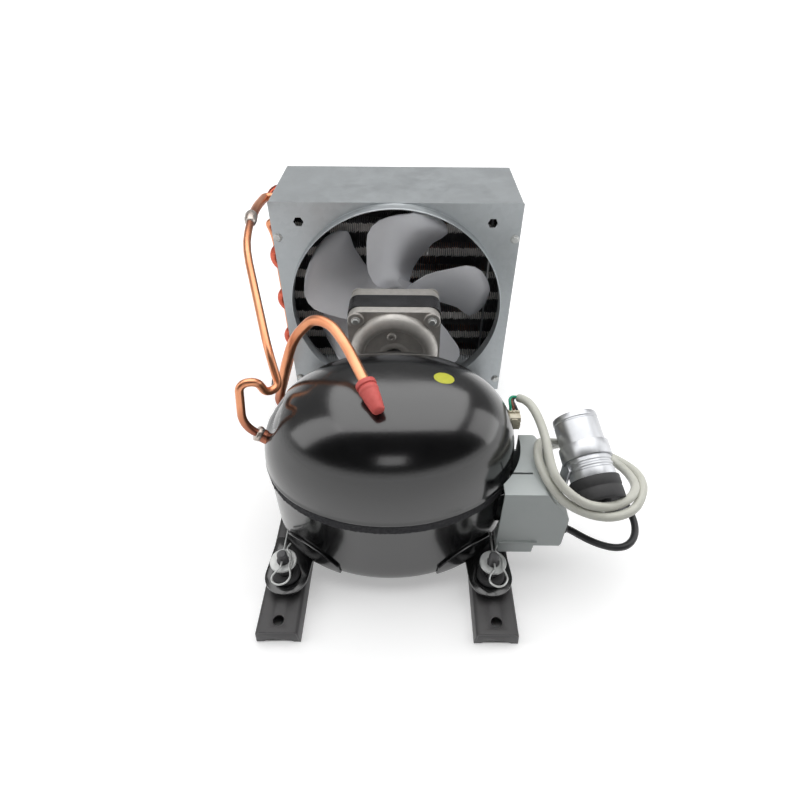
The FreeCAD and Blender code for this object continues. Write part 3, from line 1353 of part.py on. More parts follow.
def compressor_stator():
    ends = (("coil_end_r", "core_z - coil_end_tall"), ("coil_end_r", "core_top + coil_end_tall"))
    stack = (("core_r", "core_z"), ("core_r", "core_top"))
    bore = (("core_bore_r", "core_z - coil_end_tall - 1"), ("core_bore_r", "core_top + coil_end_tall + 1"))
    return on_crank(stack).fuse(on_crank(ends)).cut(on_crank(bore))


def pump_rotor():
    """The rotor on its crankshaft, with the crank's web on top."""
    profile = (("crank_r", "core_z - 6"), ("crank_r", "core_z + 1"), ("pump_rotor_r", "core_z + 1"),
               ("pump_rotor_r", "core_top - 1"), ("crank_r", "core_top - 1"), ("crank_r", "block_top + 1"))
    web = spun((("crank_throw + crank_pin_r", "block_top + 1"), ("crank_throw + crank_pin_r", "block_top + 1 + web_tall")),
               20, ("0", "shell_y", "0"))
    journal = Part.makeCylinder(value("crank_r"), value("block_top + 1 - core_top + 1"),
                                point(("0", "shell_y", "core_top - 1")))
    return on_crank(profile, 20).fuse([web, journal])


def pump_block():
    """The block's plate on four pillars, and its cylinder."""
    whole = on_crank((("block_r", "block_low"), ("block_r", "block_top")))
    whole = whole.cut(on_crank((("crank_r + run_gap * 2", "block_low - 1"), ("crank_r + run_gap * 2", "block_top + 1")), 20))
    for side in (-1, 1):
        for end in (-1, 1):
            spot = (f"{side} * spring_at", f"shell_y + {end} * spring_at", "0")
            whole = whole.fuse(spun((("4", "core_top + fit_gap"), ("4", "block_low + 1")), 12, spot))
    barrel = Part.makeBox(26, value("bore_r * 2 + 12"), value("piston_z + bore_r + 5 - block_top + 1"),
                          point(("24", "shell_y - bore_r - 6", "block_top - 1")))
    bore = spun((("bore_r", "20"), ("bore_r", "46")), 16, ("0", "shell_y", "piston_z"), ALONG_X)
    return whole.fuse(barrel).cut(bore)


def pump_springs():
    """Four springs, their feet shaped to the lower shell's floor."""
    room = bowl_form(-value("shell_gauge + fit_gap / 2"), value("shell_floor + shell_gauge + fit_gap / 2"))
    pieces = []
    for side in (-1, 1):
        for end in (-1, 1):
            spot = (f"{side} * spring_at", f"shell_y + {end} * spring_at", "0")
            outside = spun((("spring_r", "spring_foot"), ("spring_r", "core_z - fit_gap")), 8, spot)
            hole = spun((("spring_r - 1.6", "spring_foot - 1"), ("spring_r - 1.6", "core_z + 1")), 8, spot)
            pieces.append(outside.cut(hole).common(room))
    return pieces


def piston_and_rod():
    """Piston, rod and crank pin, with the rod's big end over the crank's web."""
    piston = spun((("bore_r - 0.1", "26"), ("bore_r - 0.1", "42")), 16, ("0", "shell_y", "piston_z"), ALONG_X)
    rod = Part.makeBox(value("27 - crank_throw"), 6, 6, point(("crank_throw", "shell_y - 3", "piston_z - 3")))
    pin = spun((("crank_pin_r + 3", "piston_z - 4"), ("crank_pin_r + 3", "piston_z + 4")), 16, ("crank_throw", "shell_y", "0"))
    tip = spun((("crank_pin_r", "block_top + 1 + web_tall + round_gap"), ("crank_pin_r", "piston_z")), 16,
               ("crank_throw", "shell_y", "0"))
    return piston.fuse(rod).fuse(pin).fuse(tip)


finish(feature("stator_form", compressor_stator()), "compressor_stator")
finish(feature("pump_rotor_form", pump_rotor()), "pump_rotor")
finish(feature("pump_block_form", Part.makeCompound([pump_block(), *pump_springs()])), "pump_block")
finish(feature("piston_form", piston_and_rod()), "piston_and_rod")

doc.recompute()
for thing in PARTS:
    if "Invalid" in thing.State or "Error" in thing.State:
        raise RuntimeError(f"{thing.Label} did not recompute")
    if thing.Shape.isNull() or not thing.Shape.isValid():
        raise RuntimeError(f"{thing.Label} has no valid solid")
os.makedirs("parts", exist_ok=True)
for thing in PARTS:
    thing.Shape.exportStep(f"parts/{thing.Label}.step")
print(f"{len(PARTS)} sub-parts")
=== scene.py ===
"""The looks of a refrigeration condensing unit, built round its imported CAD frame."""
import math
import random

import bmesh
import bpy
from bpy.props import FloatProperty, FloatVectorProperty, IntProperty, PointerProperty
from mathutils import Matrix, Quaternion, Vector, noise


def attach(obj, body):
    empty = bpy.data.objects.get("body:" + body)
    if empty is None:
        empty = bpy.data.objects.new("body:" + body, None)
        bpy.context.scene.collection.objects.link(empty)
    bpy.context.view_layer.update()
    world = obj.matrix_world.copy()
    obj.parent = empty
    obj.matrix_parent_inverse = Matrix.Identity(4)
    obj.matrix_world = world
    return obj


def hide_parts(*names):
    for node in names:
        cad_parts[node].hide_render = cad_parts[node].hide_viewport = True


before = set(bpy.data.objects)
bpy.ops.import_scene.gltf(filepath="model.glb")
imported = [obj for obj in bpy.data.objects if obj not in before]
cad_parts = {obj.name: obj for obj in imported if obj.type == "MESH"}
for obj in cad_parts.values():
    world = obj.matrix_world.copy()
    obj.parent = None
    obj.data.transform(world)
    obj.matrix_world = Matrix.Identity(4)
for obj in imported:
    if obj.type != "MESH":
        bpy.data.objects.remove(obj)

bl_info = {
    "name": "Condensing Unit",
    "version": (1, 0, 0),
    "blender": (4, 5, 0),
    "location": "View3D > Sidebar > Condensing Unit",
    "description": "Builds a compressor, fan and finned coil on two base rails",
    "category": "Object",
}

MM = 0.001
# The rails' mid-plane and front ends, in millimetres from the frame's origin.
DATUM = Vector((-31.5, -210.0, 0.0))
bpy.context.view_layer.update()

ALONG_X = Vector((1, 0, 0))
ALONG_Y = Vector((0, 1, 0))
ALONG_Z = Vector((0, 0, 1))


def at(x, y, z):
    """A place in metres, from millimetres off the rails' mid-plane, their front ends and the floor."""
    return (Vector((x, y, z)) + DATUM) * MM


# ---- Shared shader effects ----

def feed(tree, socket, value):
    """Links a socket to another one, or sets its value."""
    if isinstance(value, bpy.types.NodeSocket):
        tree.links.new(value, socket)
    else:
        socket.default_value = value


def place(tree, kind, *values, settings=None, **inputs):
    """Adds a node: values fill its first sockets, inputs the ones they name, and settings are its own properties."""
    node = tree.nodes.new(kind)
    for key, value in (settings or {}).items():
        setattr(node, key, value)
    for socket, value in zip(node.inputs, values):
        feed(tree, socket, value)
    for key, value in inputs.items():
        feed(tree, node.inputs[key.replace("_", " ")], value)
    return node


def reckon(tree, operation, *values, clamp=False):
    """The result of a math node."""
    return place(tree, "ShaderNodeMath", *values, settings={"operation": operation, "use_clamp": clamp}).outputs[0]


def remap(tree, value, start, end, first, last):
    """A value moved from one range to another."""
    return place(tree, "ShaderNodeMapRange", Value=value, From_Min=start, From_Max=end, To_Min=first,
                 To_Max=last).outputs["Result"]


def object_place(tree, stretch=(1, 1, 1)):
    """Object coordinates, stretched."""
    return place(tree, "ShaderNodeMapping", Vector=place(tree, "ShaderNodeTexCoord").outputs["Object"],
                 Scale=stretch).outputs["Vector"]


def speckle(tree, scale, detail, roughness, stretch=(1, 1, 1), distortion=0.0):
    """Noise laid over the object."""
    return place(tree, "ShaderNodeTexNoise", Vector=object_place(tree, stretch), Scale=scale, Detail=detail,
                 Roughness=roughness, Distortion=distortion).outputs["Fac"]


def blotches(tree, entry):
    """Soft uneven patches, as in paint or handled metal."""
    centred = reckon(tree, "SUBTRACT", speckle(tree, entry["Scale"], 5.0, 0.6), 0.5)
    return reckon(tree, "ADD", reckon(tree, "MULTIPLY", centred, entry["Contrast"]), 0.5, clamp=True)


def fine_grain(tree, entry):
    """Fine relief such as orange peel, cast skin or drawing lines."""
    return place(tree, "ShaderNodeBump", Height=speckle(tree, entry["Scale"], 3.0, 0.55), Strength=entry["Strength"],
                 Distance=entry["Depth"]).outputs["Normal"]


def scuffs(tree, entry):
    """Sparse rubbed marks."""
    marks = speckle(tree, entry["Scale"], 9.0, 0.72, (1.0, 0.35, 1.6), 0.6)
    above = reckon(tree, "SUBTRACT", marks, reckon(tree, "SUBTRACT", 0.78, entry["Amount"]))
    return reckon(tree, "MULTIPLY", above, 9.0, clamp=True)


def settled_dust(tree, entry):
    """A thin film that lies on faces turned upwards."""
    normal = place(tree, "ShaderNodeNewGeometry").outputs["Normal"]
    upward = reckon(tree, "MAXIMUM", place(tree, "ShaderNodeSeparateXYZ", normal).outputs["Z"], 0.0)
    film = reckon(tree, "MULTIPLY", upward, speckle(tree, entry["Scale"], 7.0, 0.65))
    return reckon(tree, "MULTIPLY", film, entry["Amount"], clamp=True)


def zinc_spangle(tree, entry):
    """The crystal pattern of hot-dip zinc."""
    where = object_place(tree)
    warp = place(tree, "ShaderNodeTexNoise", Vector=where, Scale=90.0, Detail=2.0).outputs["Color"]
    shifted = place(tree, "ShaderNodeVectorMath", warp, (0.006, 0.006, 0.006), where,
                    settings={"operation": "MULTIPLY_ADD"}).outputs[0]
    cells = place(tree, "ShaderNodeTexVoronoi", settings={"feature": "F1"}, Vector=shifted, Scale=entry["Scale"])
    return place(tree, "ShaderNodeSeparateColor", cells.outputs["Color"]).outputs["Red"]


# What builds each effect, its inputs with their defaults, and its output.
EFFECTS = {
    "Blotches": (blotches, {"Scale": 20.0, "Contrast": 1.0}, "Mask"),
    "Fine Grain": (fine_grain, {"Scale": 900.0, "Strength": 0.1, "Depth": 0.0002}, "Normal"),
    "Scuffs": (scuffs, {"Scale": 60.0, "Amount": 0.3}, "Mask"),
    "Settled Dust": (settled_dust, {"Scale": 35.0, "Amount": 0.2}, "Mask"),
    "Zinc Spangle": (zinc_spangle, {"Scale": 160.0}, "Mask"),
}
GROUPS = {}


def effect(tree, name, **inputs):
    """Places a shared effect, whose node group is built the first time that it's asked for."""
    if name not in GROUPS:
        build, sockets, result = EFFECTS[name]
        group = GROUPS[name] = bpy.data.node_groups.new(name, "ShaderNodeTree")
        for key, default in sockets.items():
            socket = group.interface.new_socket(key, in_out="INPUT", socket_type="NodeSocketFloat")
            socket.default_value = default
        kind = "NodeSocketVector" if result == "Normal" else "NodeSocketFloat"
        group.interface.new_socket(result, in_out="OUTPUT", socket_type=kind)
        entry, leave = group.nodes.new("NodeGroupInput"), group.nodes.new("NodeGroupOutput")
        feed(group, leave.inputs[result], build(group, entry.outputs))
    node = tree.nodes.new("ShaderNodeGroup")
    node.node_tree = GROUPS[name]
    for key, value in inputs.items():
        node.inputs[key].default_value = value
    return node.outputs[0]


def blend_colours(tree, mask, first, second):
    """Mixes two colours, each a socket or three numbers."""
    mix = place(tree, "ShaderNodeMix", settings={"data_type": "RGBA"}, Factor=mask)
    sockets = [socket for socket in mix.inputs if socket.type == "RGBA"]
    for socket, colour in zip(sockets, (first, second)):
        feed(tree, socket, colour if isinstance(colour, bpy.types.NodeSocket) else (*colour, 1))
    return [socket for socket in mix.outputs if socket.type == "RGBA"][0]


# ---- Finishes ----

# Base colour, second colour, roughness, its spread, metallic, scale of the patches, and the grain's scale, strength
# and depth in metres.
FINISHES = {
    "body_paint": ((0.0025, 0.0027, 0.0032), (0.0045, 0.0047, 0.0054), 0.18, 0.05, 0.0, 40, (420, 0.12, 0.0003)),
    "weld": ((0.004, 0.004, 0.007), (0.018, 0.018, 0.022), 0.78, 0.25, 0.0, 650, (900, 0.9, 0.0012)),
    "rail_paint": ((0.026, 0.0245, 0.026), (0.042, 0.04, 0.043), 0.42, 0.14, 0.0, 30, (700, 0.22, 0.0004)),
    "zinc": ((0.58, 0.59, 0.58), (0.46, 0.47, 0.46), 0.45, 0.1, 0.9, 160, (1500, 0.05, 0.0001)),
    "steel": ((0.48, 0.48, 0.49), (0.34, 0.34, 0.35), 0.3, 0.12, 1.0, 150, (1600, 0.2, 0.0002)),
    "rubber": ((0.014, 0.014, 0.016), (0.028, 0.028, 0.03), 0.62, 0.14, 0.0, 120, (1100, 0.3, 0.0003)),
    "red_rubber": ((0.56, 0.07, 0.06), (0.66, 0.11, 0.095), 0.55, 0.12, 0.0, 110, (900, 0.28, 0.0003)),
    "relay_plastic": ((0.4, 0.435, 0.43), (0.44, 0.47, 0.465), 0.46, 0.08, 0.0, 26, (1300, 0.25, 0.00025)),
    "connector_plastic": ((0.62, 0.56, 0.42), (0.7, 0.65, 0.52), 0.42, 0.08, 0.0, 90, (1200, 0.18, 0.0002)),
    "can_aluminium": ((0.6, 0.61, 0.63), (0.53, 0.54, 0.56), 0.36, 0.08, 0.9, 60, (1900, 0.06, 0.0001)),
    "white_cable": ((0.6, 0.6, 0.54), (0.52, 0.52, 0.46), 0.38, 0.1, 0.0, 55, (800, 0.16, 0.0003)),
    "black_cable": ((0.013, 0.013, 0.015), (0.024, 0.024, 0.026), 0.42, 0.1, 0.0, 90, (900, 0.18, 0.0003)),
    "copper": ((0.78, 0.36, 0.2), (0.68, 0.28, 0.145), 0.34, 0.08, 1.0, 45, (1300, 0.05, 0.0001)),
    "red_copper": ((0.66, 0.16, 0.1), (0.42, 0.08, 0.05), 0.25, 0.14, 1.0, 80, (1300, 0.12, 0.0002)),
    "silver_braze": ((0.62, 0.58, 0.54), (0.34, 0.27, 0.23), 0.34, 0.2, 1.0, 260, (1100, 0.45, 0.0004)),
    "shroud_sheet": ((0.4, 0.425, 0.44), (0.47, 0.5, 0.515), 0.36, 0.12, 0.72, 22, (1400, 0.12, 0.0002)),
    "galvanised": ((0.46, 0.47, 0.48), (0.58, 0.59, 0.6), 0.36, 0.14, 0.9, 40, (1400, 0.12, 0.0002)),
    # The fins' dark grey is painted shade inside the coil behind the shroud, not the fins' own colour.
    "fins": ((0.13, 0.132, 0.138), (0.2, 0.202, 0.21), 0.45, 0.12, 0.4, 60, (1400, 0.15, 0.0002)),
    # The fin tabs' near-white is a painted highlight on the fins' edges.
    "fin_edges": ((0.96, 0.93, 0.89), (0.82, 0.79, 0.76), 0.38, 0.12, 0.1, 200, (1400, 0.15, 0.0002)),
    "motor_paint": ((0.5, 0.48, 0.45), (0.4, 0.385, 0.365), 0.44, 0.12, 0.55, 110, (1000, 0.5, 0.0004)),
    "laminations": ((0.016, 0.016, 0.018), (0.035, 0.035, 0.038), 0.38, 0.12, 0.0, 90, (900, 0.3, 0.0003)),
    "winding": ((0.36, 0.13, 0.05), (0.24, 0.08, 0.03), 0.3, 0.1, 0.6, 300, (1700, 0.5, 0.0004)),
    "fan_metal": ((0.8, 0.81, 0.85), (0.86, 0.87, 0.9), 0.45, 0.1, 0.35, 26, (1300, 0.14, 0.0002)),
    "iron": ((0.1, 0.1, 0.105), (0.16, 0.16, 0.16), 0.55, 0.15, 0.7, 120, (800, 0.6, 0.0005)),
    "glass_seal": ((0.02, 0.02, 0.022), (0.05, 0.05, 0.05), 0.25, 0.1, 0.0, 150, (900, 0.2, 0.0002)),
    "green_core": ((0.0, 0.3, 0.16), (0.0, 0.24, 0.13), 0.4, 0.08, 0.0, 120, (900, 0.15, 0.0002)),
    "brown_core": ((0.2, 0.06, 0.03), (0.15, 0.045, 0.02), 0.4, 0.08, 0.0, 120, (900, 0.15, 0.0002)),
    "marking_paint": ((0.5, 0.5, 0.035), (0.42, 0.43, 0.03), 0.36, 0.1, 0.0, 300, (900, 0.2, 0.0002)),
}
# Scale, amount and colour.
SCUFFS = {
    "body_paint": (45, 0.02, (0.03, 0.031, 0.033)),
    "weld": (620, 0.13, (0.42, 0.42, 0.44)),
    "rail_paint": (70, 0.05, (0.16, 0.16, 0.16)),
    "relay_plastic": (60, 0.02, (0.5, 0.52, 0.52)),
    "can_aluminium": (120, 0.02, (0.8, 0.8, 0.8)),
    "copper": (70, 0.02, (0.36, 0.13, 0.07)),
    "red_copper": (90, 0.08, (0.16, 0.05, 0.03)),
    "shroud_sheet": (40, 0.02, (0.62, 0.64, 0.65)),
    "motor_paint": (160, 0.04, (0.55, 0.54, 0.52)),
    "fan_metal": (50, 0.02, (0.7, 0.7, 0.72)),
}
DUST = {"body_paint": 0.02, "rail_paint": 0.1, "rubber": 0.1, "red_rubber": 0.1, "relay_plastic": 0.08,
        "white_cable": 0.06, "shroud_sheet": 0.12, "motor_paint": 0.12, "fan_metal": 0.08}
SPANGLES = {"shroud_sheet": 210, "galvanised": 260}
PATCH_CONTRAST, SPANGLE_SHARE = 2.6, 0.45
DUST_SCALE, DUST_COLOUR = 38.0, (0.34, 0.33, 0.31)
SCUFF_ROUGHER, DUST_ROUGHER = 0.15, 0.5
BODY_COAT, BODY_COAT_ROUGH, BODY_SPECULAR = 0.20, 0.08, 0.85
# Places of the brazed joints, and how far and how strongly the heat has darkened the copper round them.
BRAZED_SPOTS = ((-100, 100, 130), (-126, 272, 227), (-91, 149, 114))
HEAT_NEAR, HEAT_FAR, HEAT_SHARE, HEAT_COLOUR = 0.004, 0.028, 0.8, (0.17, 0.05, 0.045)
SURFACES = {}


def surface(name):
    """The material of a finish, built once."""
    if name in SURFACES:
        return SURFACES[name]
    first, second, roughness, spread, metallic, patch, grain = FINISHES[name]
    material = SURFACES[name] = bpy.data.materials.new(name.replace("_", " ").capitalize())
    material.use_nodes = True
    tree = material.node_tree
    shader = tree.nodes["Principled BSDF"].inputs
    patches = effect(tree, "Blotches", Scale=patch, Contrast=PATCH_CONTRAST)
    if name in SPANGLES:
        crystals = effect(tree, "Zinc Spangle", Scale=SPANGLES[name])
        patches = place(tree, "ShaderNodeMix", settings={"data_type": "FLOAT"}, Factor=SPANGLE_SHARE, A=patches,
                        B=crystals).outputs["Result"]
    colour = blend_colours(tree, patches, first, second)
    rough = reckon(tree, "MULTIPLY_ADD", patches, spread, roughness - spread / 2, clamp=True)
    if name in SCUFFS:
        scale, amount, scuff_colour = SCUFFS[name]
        marks = effect(tree, "Scuffs", Scale=scale, Amount=amount)
        colour = blend_colours(tree, marks, colour, scuff_colour)
        rough = reckon(tree, "MULTIPLY_ADD", marks, SCUFF_ROUGHER, rough, clamp=True)
    if name in ("copper", "red_copper"):
        colour = heat_tinted(tree, colour)
    if name in DUST:
        film = effect(tree, "Settled Dust", Scale=DUST_SCALE, Amount=DUST[name])
        colour = blend_colours(tree, film, colour, DUST_COLOUR)
        rough = reckon(tree, "MULTIPLY_ADD", film, DUST_ROUGHER, rough, clamp=True)
    feed(tree, shader["Base Color"], colour)
    feed(tree, shader["Roughness"], rough)
    scale, strength, depth = grain
    feed(tree, shader["Normal"], effect(tree, "Fine Grain", Scale=scale, Strength=strength, Depth=depth))
    shader["Metallic"].default_value = metallic
    if name == "body_paint":
        shader["Specular IOR Level"].default_value = BODY_SPECULAR
        shader["Coat Weight"].default_value = BODY_COAT
        shader["Coat Roughness"].default_value = BODY_COAT_ROUGH
    return material


def heat_tinted(tree, colour):
    """Copper darkened near its brazed joints."""
    where, share = object_place(tree), 0.0
    for spot in BRAZED_SPOTS:
        away = place(tree, "ShaderNodeVectorMath", where, tuple(at(*spot)), settings={"operation": "DISTANCE"})
        share = reckon(tree, "MAXIMUM", share, remap(tree, away.outputs["Value"], HEAT_NEAR, HEAT_FAR, HEAT_SHARE, 0.0))
    return blend_colours(tree, share, colour, HEAT_COLOUR)


# ---- Shapes ----

def spokes(sides):
    """Unit directions round a circle, as pairs."""
    turns = [2 * math.pi * step / sides for step in range(sides)]
    return [(math.cos(turn), math.sin(turn)) for turn in turns]


class Shape:
    """Vertices in millimetres and faces, gathered before they become a piece."""

    def __init__(self):
        self.vertices = []
        self.faces = []

    def add(self, vertices, faces):
        """Takes in vertices, and faces that count them from nought."""
        start = len(self.vertices)
        self.vertices.extend(Vector(vertex) for vertex in vertices)
        self.faces.extend(tuple(index + start for index in face) for face in faces)
        return self

    def rings(self, rings, closed=False, caps=True):
        """Joins rings that have equally many corners."""
        count = len(rings[0])
        vertices = [corner for ring in rings for corner in ring]
        faces = []
        last = len(rings) if closed else len(rings) - 1
        for row in range(last):
            after = (row + 1) % len(rings)
            for index in range(count):
                step = (index + 1) % count
                faces.append((row * count + index, row * count + step, after * count + step, after * count + index))
        if caps and not closed:
            faces.append(tuple(range(count)))
            faces.append(tuple(range((len(rings) - 1) * count, len(rings) * count)))
        return self.add(vertices, faces)

    def turned(self, profile, middle, axis=ALONG_Z, sides=48, closed=False):
        """Spins pairs of radius and height round an axis through a place."""
        turn = ALONG_Z.rotation_difference(Vector(axis))
        rings = [[Vector(middle) + turn @ Vector((radius * a, radius * b, height)) for a, b in spokes(sides)]
                 for radius, height in profile]
        return self.rings(rings, closed=closed, caps=not closed)

    def swept(self, places, radius, sides):
        """A round bar along places; the radius is a number or one for each place."""
        places = [Vector(spot) for spot in places]
        radii = radius if isinstance(radius, (list, tuple)) else [radius] * len(places)
        normal = None
        rings = []
        for index, spot in enumerate(places):
            along = (places[min(index + 1, len(places) - 1)] - places[max(index - 1, 0)]).normalized()
            if normal is None:
                normal = along.orthogonal().normalized()
            normal = (normal - along * normal.dot(along)).normalized()
            side = along.cross(normal)
            rings.append([spot + (normal * a + side * b) * radii[index] for a, b in spokes(sides)])
        return self.rings(rings)

    def prism(self, outline, start, length, axis):
        """Pushes a flat outline of (across, up) pairs along an axis: X takes (Y, Z), Y (X, Z) and Z (X, Y)."""
        def corner(across, up, along):
            return {"X": (along, across, up), "Y": (across, along, up), "Z": (across, up, along)}[axis]
        return self.rings([[corner(a, b, end) for a, b in outline] for end in (start, start + length)])

    def block(self, low, high):
        """A box between two corners."""
        (x0, y0, z0), (x1, y1, z1) = low, high
        return self.prism(((x0, y0), (x1, y0), (x1, y1), (x0, y1)), z0, z1 - z0, "Z")

    def merged(self, other):
        """Takes in another shape."""
        return self.add(other.vertices, other.faces)


SHARP_ANGLE = 32.0
WELD_DISTANCE = 1e-7


def shade(mesh, sharp):
    """Smooth shading that breaks at sharp edges."""
    mesh.shade_smooth()
    mesh.set_sharp_from_angle(angle=math.radians(sharp))


def mesh_of(name, shape, sharp=SHARP_ANGLE):
    """A mesh in metres."""
    mesh = bpy.data.meshes.new(name)
    mesh.from_pydata([tuple((vertex + DATUM) * MM) for vertex in shape.vertices], [], shape.faces)
    mesh.validate()
    sheet = bmesh.new()
    sheet.from_mesh(mesh)
    bmesh.ops.remove_doubles(sheet, verts=sheet.verts, dist=WELD_DISTANCE)
    bmesh.ops.recalc_face_normals(sheet, faces=sheet.faces)
    sheet.to_mesh(mesh)
    sheet.free()
    shade(mesh, sharp)
    return mesh


def settle(piece):
    """Makes a piece's modifiers part of its mesh."""
    graph = bpy.context.evaluated_depsgraph_get()
    done = bpy.data.meshes.new_from_object(piece.evaluated_get(graph))
    piece.modifiers.clear()
    piece.data = done


def bored(piece, cutters):
    """Cuts shapes out of a piece."""
    for number, cutter in enumerate(cutters):
        tool = show(f"{piece.name}_cutter_{number}", mesh_of("cutter", cutter))
        cut = piece.modifiers.new("bore", "BOOLEAN")
        cut.operation = "DIFFERENCE"
        cut.solver = "EXACT"
        cut.object = tool
        settle(piece)
        bpy.data.objects.remove(tool)


def softened(piece, width, steps, limit=35.0, sharp=SHARP_ANGLE):
    """Rounds a piece's edges, given in millimetres."""
    edge = piece.modifiers.new("edge", "BEVEL")
    edge.width = width * MM
    edge.segments = steps
    edge.limit_method = "ANGLE"
    edge.angle_limit = math.radians(limit)
    edge.use_clamp_overlap = True
    edge.miter_outer = "MITER_ARC"
    settle(piece)
    shade(piece.data, sharp)


def piece_of(name, shape, finish, body="unit", stands_for=(), sharp=SHARP_ANGLE, cutters=(), edge=0.0,
             steps=3):
    """Turns a shape into a piece that rides a body, wears a finish and stands for CAD nodes."""
    piece = show(name, mesh_of(name, shape, sharp))
    if cutters:
        bored(piece, cutters)
        shade(piece.data, sharp)
    if edge:
        softened(piece, edge, steps, sharp=sharp)
    piece.data.materials.clear()
    piece.data.materials.append(surface(finish))
    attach(piece, body)
    if stands_for:
        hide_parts(*stands_for)
    return piece


BEND_SHARE, BEND_STEP = 0.46, 7.0
STRAIGHT = 0.02


def bent_route(places):
    """Straight runs joined by tangent arcs, as close places along the line."""
    places = [Vector(spot) for spot in places]
    route = [places[0]]
    for before, corner, after in zip(places, places[1:], places[2:]):
        inward, outward = (corner - before).normalized(), (after - corner).normalized()
        turn = inward.angle(outward)
        if turn < STRAIGHT:
            route.append(corner)
            continue
        setback = BEND_SHARE * min((corner - before).length, (after - corner).length)
        radius = setback / math.tan(turn / 2)
        middle = corner + (outward - inward).normalized() * (radius / math.cos(turn / 2))
        arm = corner - inward * setback - middle
        axis = inward.cross(outward).normalized()
        count = max(2, math.ceil(math.degrees(turn) / BEND_STEP))
        for step in range(count + 1):
            route.append(middle + Quaternion(axis, turn * step / count) @ arm)
    route.append(places[-1])
    return route


def smooth_route(places, steps):
    """A soft curve that passes through the places."""
    places = [Vector(spot) for spot in places]
    last = len(places) - 1
    route = []
    for index in range(last):
        a, b, c, d = (places[min(max(index + shift, 0), last)] for shift in (-1, 0, 1, 2))
        for step in range(steps):
            t = step / steps
            route.append(0.5 * (2 * b + (c - a) * t + (2 * a - 5 * b + 4 * c - d) * t * t
                                + (3 * b - 3 * c + d - a) * t ** 3))
    return route + [places[-1]]


def rounded_outline(corners, radius, steps=5):
    """A flat outline whose corners are rounded."""
    flat = [Vector((a, b, 0)) for a, b in corners]
    count = len(flat)
    result = []
    for index, corner in enumerate(flat):
        before, after = flat[index - 1], flat[(index + 1) % count]
        inward, outward = (corner - before).normalized(), (after - corner).normalized()
        turn = inward.angle(outward)
        size = radius[index] if isinstance(radius, (list, tuple)) else radius
        if size <= 0 or turn < STRAIGHT:
            result.append((corner.x, corner.y))
            continue
        setback = min(size * math.tan(turn / 2), 0.48 * min((corner - before).length, (after - corner).length))
        size = setback / math.tan(turn / 2)
        middle = corner + (outward - inward).normalized() * (size / math.cos(turn / 2))
        arm = corner - inward * setback - middle
        axis = inward.cross(outward).normalized()
        for step in range(steps + 1):
            spot = middle + Quaternion(axis, turn * step / steps) @ arm
            result.append((spot.x, spot.y))
    return result


# ---- Settings ----

def length_setting(label, about, default):
    """A length in metres, given in millimetres."""
    return FloatProperty(name=label, description=about, default=default * MM, min=0.0, unit="LENGTH",
                         subtype="DISTANCE")


class ShellSettings(bpy.types.PropertyGroup):
    """Sizes of the compressor's shells."""
    half_width: length_setting("Half Width", "From the compressor's axis to its side", 97)
    half_depth: length_setting("Half Depth", "From the compressor's axis to its front", 71)
    seam: length_setting("Seam Height", "Where the two shells meet", 95)
    top: length_setting("Top Height", "Top of the upper shell", 176)
    floor: length_setting("Floor Height", "Bottom of the lower shell", 17)
    gauge: length_setting("Sheet", "Thickness of the shells", 3)


class CoilSettings(bpy.types.PropertyGroup):
    """Sizes of the finned coil."""
    fin_pitch: length_setting("Fin Pitch", "From one fin to the next", 2.1)
    tube_radius: length_setting("Tube Radius", "Radius of the coil's tubes", 4.76)
    rows: IntProperty(name="Tube Rows", description="Tubes from top to bottom", default=8, min=2, max=12)


class CableSettings(bpy.types.PropertyGroup):
    """Sizes of the two cables."""
    supply_radius: length_setting("Supply Radius", "Radius of the supply cable's jacket", 3.4)
    link_radius: length_setting("Link Radius", "Radius of the capacitor's cable", 2.8)


class StageSettings(bpy.types.PropertyGroup):
    """The floor and the lamps."""
    floor_colour: FloatVectorProperty(name="Floor", description="Colour of the floor", default=(0.80, 0.80, 0.80),
                                      size=3, subtype="COLOR", min=0.0, max=1.0)
    key_power: FloatProperty(name="Key Power", description="Power of the large overhead lamp", default=23.0, min=0.0,
                             unit="POWER")
    sky_level: FloatProperty(name="Sky Level", description="Strength of the room's own light", default=0.28, min=0.0)


class UnitSettings(bpy.types.PropertyGroup):
    """All settings of the unit."""
    shell: PointerProperty(type=ShellSettings)
    coil: PointerProperty(type=CoilSettings)
    cable: PointerProperty(type=CableSettings)
    stage: PointerProperty(type=StageSettings)


def settings():
    """The scene's settings for this unit."""
    return bpy.context.scene.condensing_unit


def shell_size(name):
    """A size of the compressor's shells, in millimetres."""
    return getattr(settings().shell, name) / MM


# ---- Stage ----

CAMERA_PLACE = (15.883, -189.092, 417.879)
CAMERA_YAW, CAMERA_PITCH, CAMERA_ROLL = -0.099, 41.155, -0.406
PHOTO_SIDE, FOCAL_PIXELS, CENTRE_X, CENTRE_Y = 800, 532.827, 408.902, 400.067
SENSOR = 36.0


def add_camera():
    """The camera stands where the photograph was taken from."""
    yaw, pitch, roll = (math.radians(angle) for angle in (CAMERA_YAW, CAMERA_PITCH, CAMERA_ROLL))
    forward = Vector((math.sin(yaw) * math.cos(pitch), math.cos(yaw) * math.cos(pitch), -math.sin(pitch)))
    right = Vector((math.cos(yaw), -math.sin(yaw), 0))
    down = forward.cross(right)
    right, down = math.cos(roll) * right + math.sin(roll) * down, -math.sin(roll) * right + math.cos(roll) * down
    lens = bpy.data.cameras.new("Photograph Camera")
    lens.sensor_width = SENSOR
    lens.lens = FOCAL_PIXELS / PHOTO_SIDE * SENSOR
    lens.shift_x = -(CENTRE_X - PHOTO_SIDE / 2) / PHOTO_SIDE
    lens.shift_y = (CENTRE_Y - PHOTO_SIDE / 2) / PHOTO_SIDE
    lens.clip_start = 0.01
    camera = show("photograph_camera", lens)
    facing = Matrix((right, -down, -forward)).transposed().to_4x4()
    camera.matrix_world = Matrix.Translation(at(*CAMERA_PLACE)) @ facing
    bpy.context.scene.camera = camera


